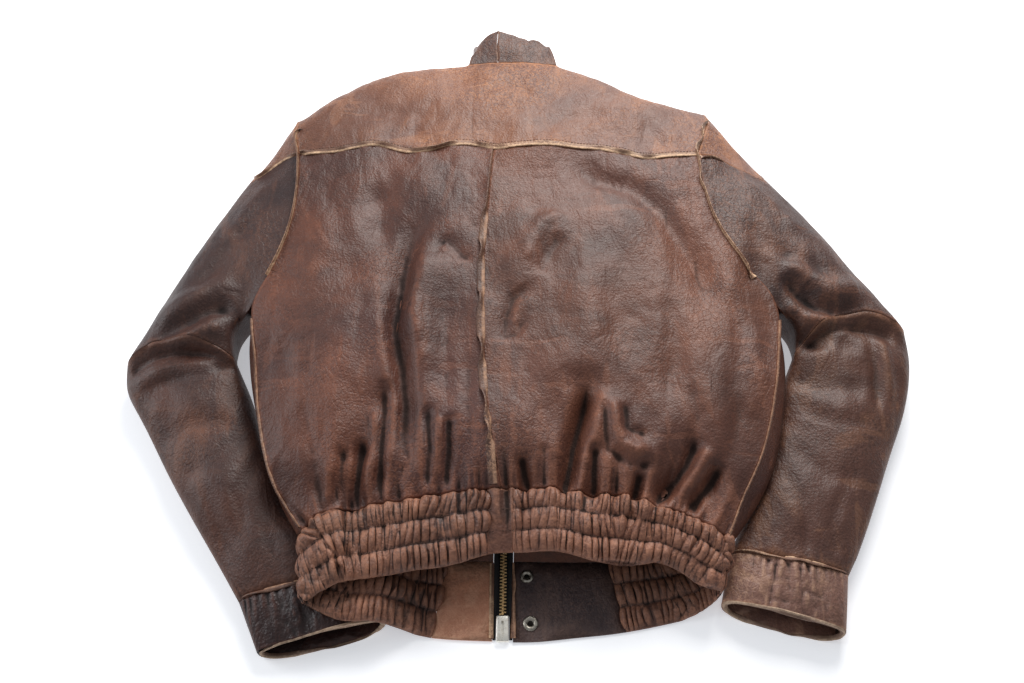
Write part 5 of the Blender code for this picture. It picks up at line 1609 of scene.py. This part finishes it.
@dataclass
class Garment:
    """The blouson's pieces of leather."""

    wear: Wear = field(default_factory=lambda: Wear(
        folds=BACK_FOLDS + YOKE_FOLDS + SLEEVE_FOLDS,
        gathers=(
            Gather(BAND_SEAM, 0.0085, 0.0013, 0.018, 31),
            Gather(BAND_SEAM, 0.0190, 0.0038, 0.030, 37),
            Gather(path(-137, -266, -180, -280, -252, -296), 0.0080, 0.0012, 0.016, 41),
            Gather(path(206, -250, 255, -266, 314, -272), 0.0080, 0.0012, 0.016, 47),
        ),
        crinkles=(
            Crinkle((-0.335, -0.085), (0.075, 0.055), 15.0, 0.0013, (0.030, 0.010), 51),
            Crinkle((0.345, -0.065), (0.075, 0.055), -12.0, 0.0013, (0.030, 0.010), 53),
            Crinkle((-0.245, -0.215), (0.085, 0.085), 55.0, 0.0009, (0.026, 0.011), 57),
            Crinkle((0.290, -0.205), (0.085, 0.085), 110.0, 0.0009, (0.026, 0.011), 59),
            Crinkle((-0.180, -0.305), (0.085, 0.050), -72.0, 0.0022, (0.022, 0.009), 61),
            Crinkle((0.250, -0.295), (0.085, 0.050), 78.0, 0.0022, (0.022, 0.009), 63),
        )))
    sheets: dict[str, Sheet] = field(default_factory=dict, init=False)

    def build(self, nodes: dict[str, Object]) -> None:
        """Makes every piece of leather.

        Args:
            nodes: the model's objects, by node.
        """
        skins: dict[str, Material] = {}
        for sheet in self._pieces():
            if sheet.finish.name not in skins:
                skins[sheet.finish.name] = sheet.finish.build()
            sheet.build(nodes[sheet.node], self.wear, skins[sheet.finish.name])
            self.sheets[sheet.node] = sheet

    def _pieces(self) -> list[Sheet]:
        """Every piece with its finish and its cut.

        Returns:
            The pieces, in the order they are made.
        """
        yoke = LeatherFinish("tan_yoke", (124, 79, 56), (94, 58, 43), (174, 119, 84), (112, 75, 65), 0.85)
        left = LeatherFinish("back_left_brown", (97, 56, 41), (68, 38, 30), (140, 86, 62), (87, 54, 50), 0.55)
        right = LeatherFinish("back_right_brown", (105, 63, 46), (73, 44, 34), (147, 94, 70), (88, 55, 48), 0.50)
        front = LeatherFinish("front_brown", (96, 56, 41), (69, 41, 31), (131, 81, 60), (86, 55, 51), 0.45)
        dark_l = LeatherFinish("upper_sleeve_left", (68, 44, 38), (48, 30, 29), (112, 71, 52), (74, 50, 51), 0.50)
        dark_r = LeatherFinish("upper_sleeve_right", (78, 47, 36), (50, 30, 27), (138, 90, 66), (73, 49, 44), 0.6)
        under_l = LeatherFinish("under_sleeve_left", (84, 51, 40), (56, 33, 28), (126, 82, 60), (80, 54, 50), 0.45)
        under_r = LeatherFinish("under_sleeve_right", (92, 57, 44), (62, 39, 31), (150, 104, 76), (88, 58, 50), 0.5)
        cuff_l = LeatherFinish("cuff_left_dark", (57, 32, 27), (38, 21, 20), (100, 61, 49), (68, 42, 45), 0.5, 0.34)
        cuff_r = LeatherFinish("cuff_right_brown", (150, 106, 88), (96, 66, 54), (192, 150, 122), (110, 82, 76), 0.5)
        band = LeatherFinish("waistband_tan", (112, 71, 55), (56, 34, 27), (186, 130, 102), (98, 66, 58), 0.45)
        end_l = LeatherFinish("band_end_tan", (214, 146, 112), (160, 106, 82), (236, 184, 152), (180, 128, 106), 0.5)
        end_r = LeatherFinish("band_end_dark", (68, 52, 52), (48, 36, 38), (118, 92, 82), (78, 62, 66), 0.5)
        collar = LeatherFinish("collar_grey_brown", (82, 55, 47), (57, 38, 34), (124, 83, 62), (82, 60, 57), 0.55)
        back = Shirring(BAND_SEAM, BAND_EDGE, (0.0, -0.35, 1.0), 71)
        inside = Shirring(FRONT_BAND_SEAM, FRONT_BAND_EDGE, (0.0, 0.0, 1.0), 77)
        stand = (Slump(0.024, 0.020, (0.0, 0.004, 0.008)), Slump(0.047, 0.014, (0.0, -0.005, -0.007)))
        return [
            Sheet("back_left", left, "back_left_leather", Cut(0.30, 0.47, 0.108)),
            Sheet("back_right", right, "back_right_leather", Cut(0.34, 0.47, 0.122)),
            Sheet("back_yoke", yoke, "yoke_leather", Cut(0.50, 0.26, 0.108)),
            Sheet("front_left", front, "front_leather", Cut(0.36, 0.62, 0.150), 2, FLOOR),
            Sheet("front_right", front, "front_leather", Cut(0.36, 0.62, 0.150), 2, FLOOR),
            Sheet("sleeve_cap_left", yoke, "yoke_leather", Cut(0.13, 0.095, 0.0098)),
            Sheet("sleeve_cap_right", yoke, "yoke_leather", Cut(0.13, 0.095, 0.0098)),
            Sheet("sleeve_upper_left", dark_l, "upper_sleeve_leather", Cut(0.38, 0.60, 0.100), 3, FLOOR),
            Sheet("sleeve_upper_right", dark_r, "upper_sleeve_leather", Cut(0.38, 0.60, 0.100), 3, FLOOR),
            Sheet("sleeve_under_left", under_l, "under_sleeve_leather", Cut(0.20, 0.30, 0.036), 2),
            Sheet("sleeve_under_right", under_r, "under_sleeve_leather", Cut(0.20, 0.30, 0.036), 2),
            Sheet("cuff_left", cuff_l, "cuff_leather", Cut(0.25, 0.06, 0.014), 3, FLOOR),
            Sheet("cuff_right", cuff_r, "cuff_leather", Cut(0.25, 0.06, 0.014), 3, FLOOR),
            Sheet("collar_left", collar, "collar_leather", Cut(0.20, 0.06, 0.0075), 3, FLOOR, slumps=stand),
            Sheet("collar_right", collar, "collar_leather", Cut(0.20, 0.06, 0.0085), 3, FLOOR, slumps=stand),
            Sheet("waistband_back_left", band, "band_leather", Cut(0.25, 0.07, 0.0165, Held.GATHERED), 3, (), back),
            Sheet("waistband_back_right", band, "band_leather", Cut(0.27, 0.07, 0.0178, Held.GATHERED), 3, (), back),
            Sheet("waistband_back_centre", band, "band_leather", Cut(0.026, 0.065, 0.0016)),
            Sheet("waistband_front_left", band, "band_leather", Cut(0.20, 0.075, 0.0148, Held.GATHERED), 3, FLOOR,
                  inside),
            Sheet("waistband_front_right", band, "band_leather", Cut(0.16, 0.075, 0.0102, Held.GATHERED), 3, FLOOR,
                  inside),
            Sheet("waistband_end_left", end_l, "end_leather", Cut(0.055, 0.075, 0.004), 2, FLOOR),
            Sheet("waistband_end_right", end_r, "tab_leather", Cut(0.100, 0.076, 0.0075), 2, FLOOR),
        ]


def main() -> None:
    """Builds the garment, its trims and the studio, and reports each piece."""
    logging.basicConfig(level=logging.INFO, format="%(message)s")
    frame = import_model()
    garment = Garment()
    garment.build(frame["nodes"])
    Zip().build(frame["nodes"])
    Snaps().build()
    trims = Trims(garment.sheets)
    trims.build()
    for sheet in garment.sheets.values():
        sheet.declare(trims.pieces.get(sheet.node, ()))
    Studio().build()
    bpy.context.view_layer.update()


if __name__ == "__main__":
    main()
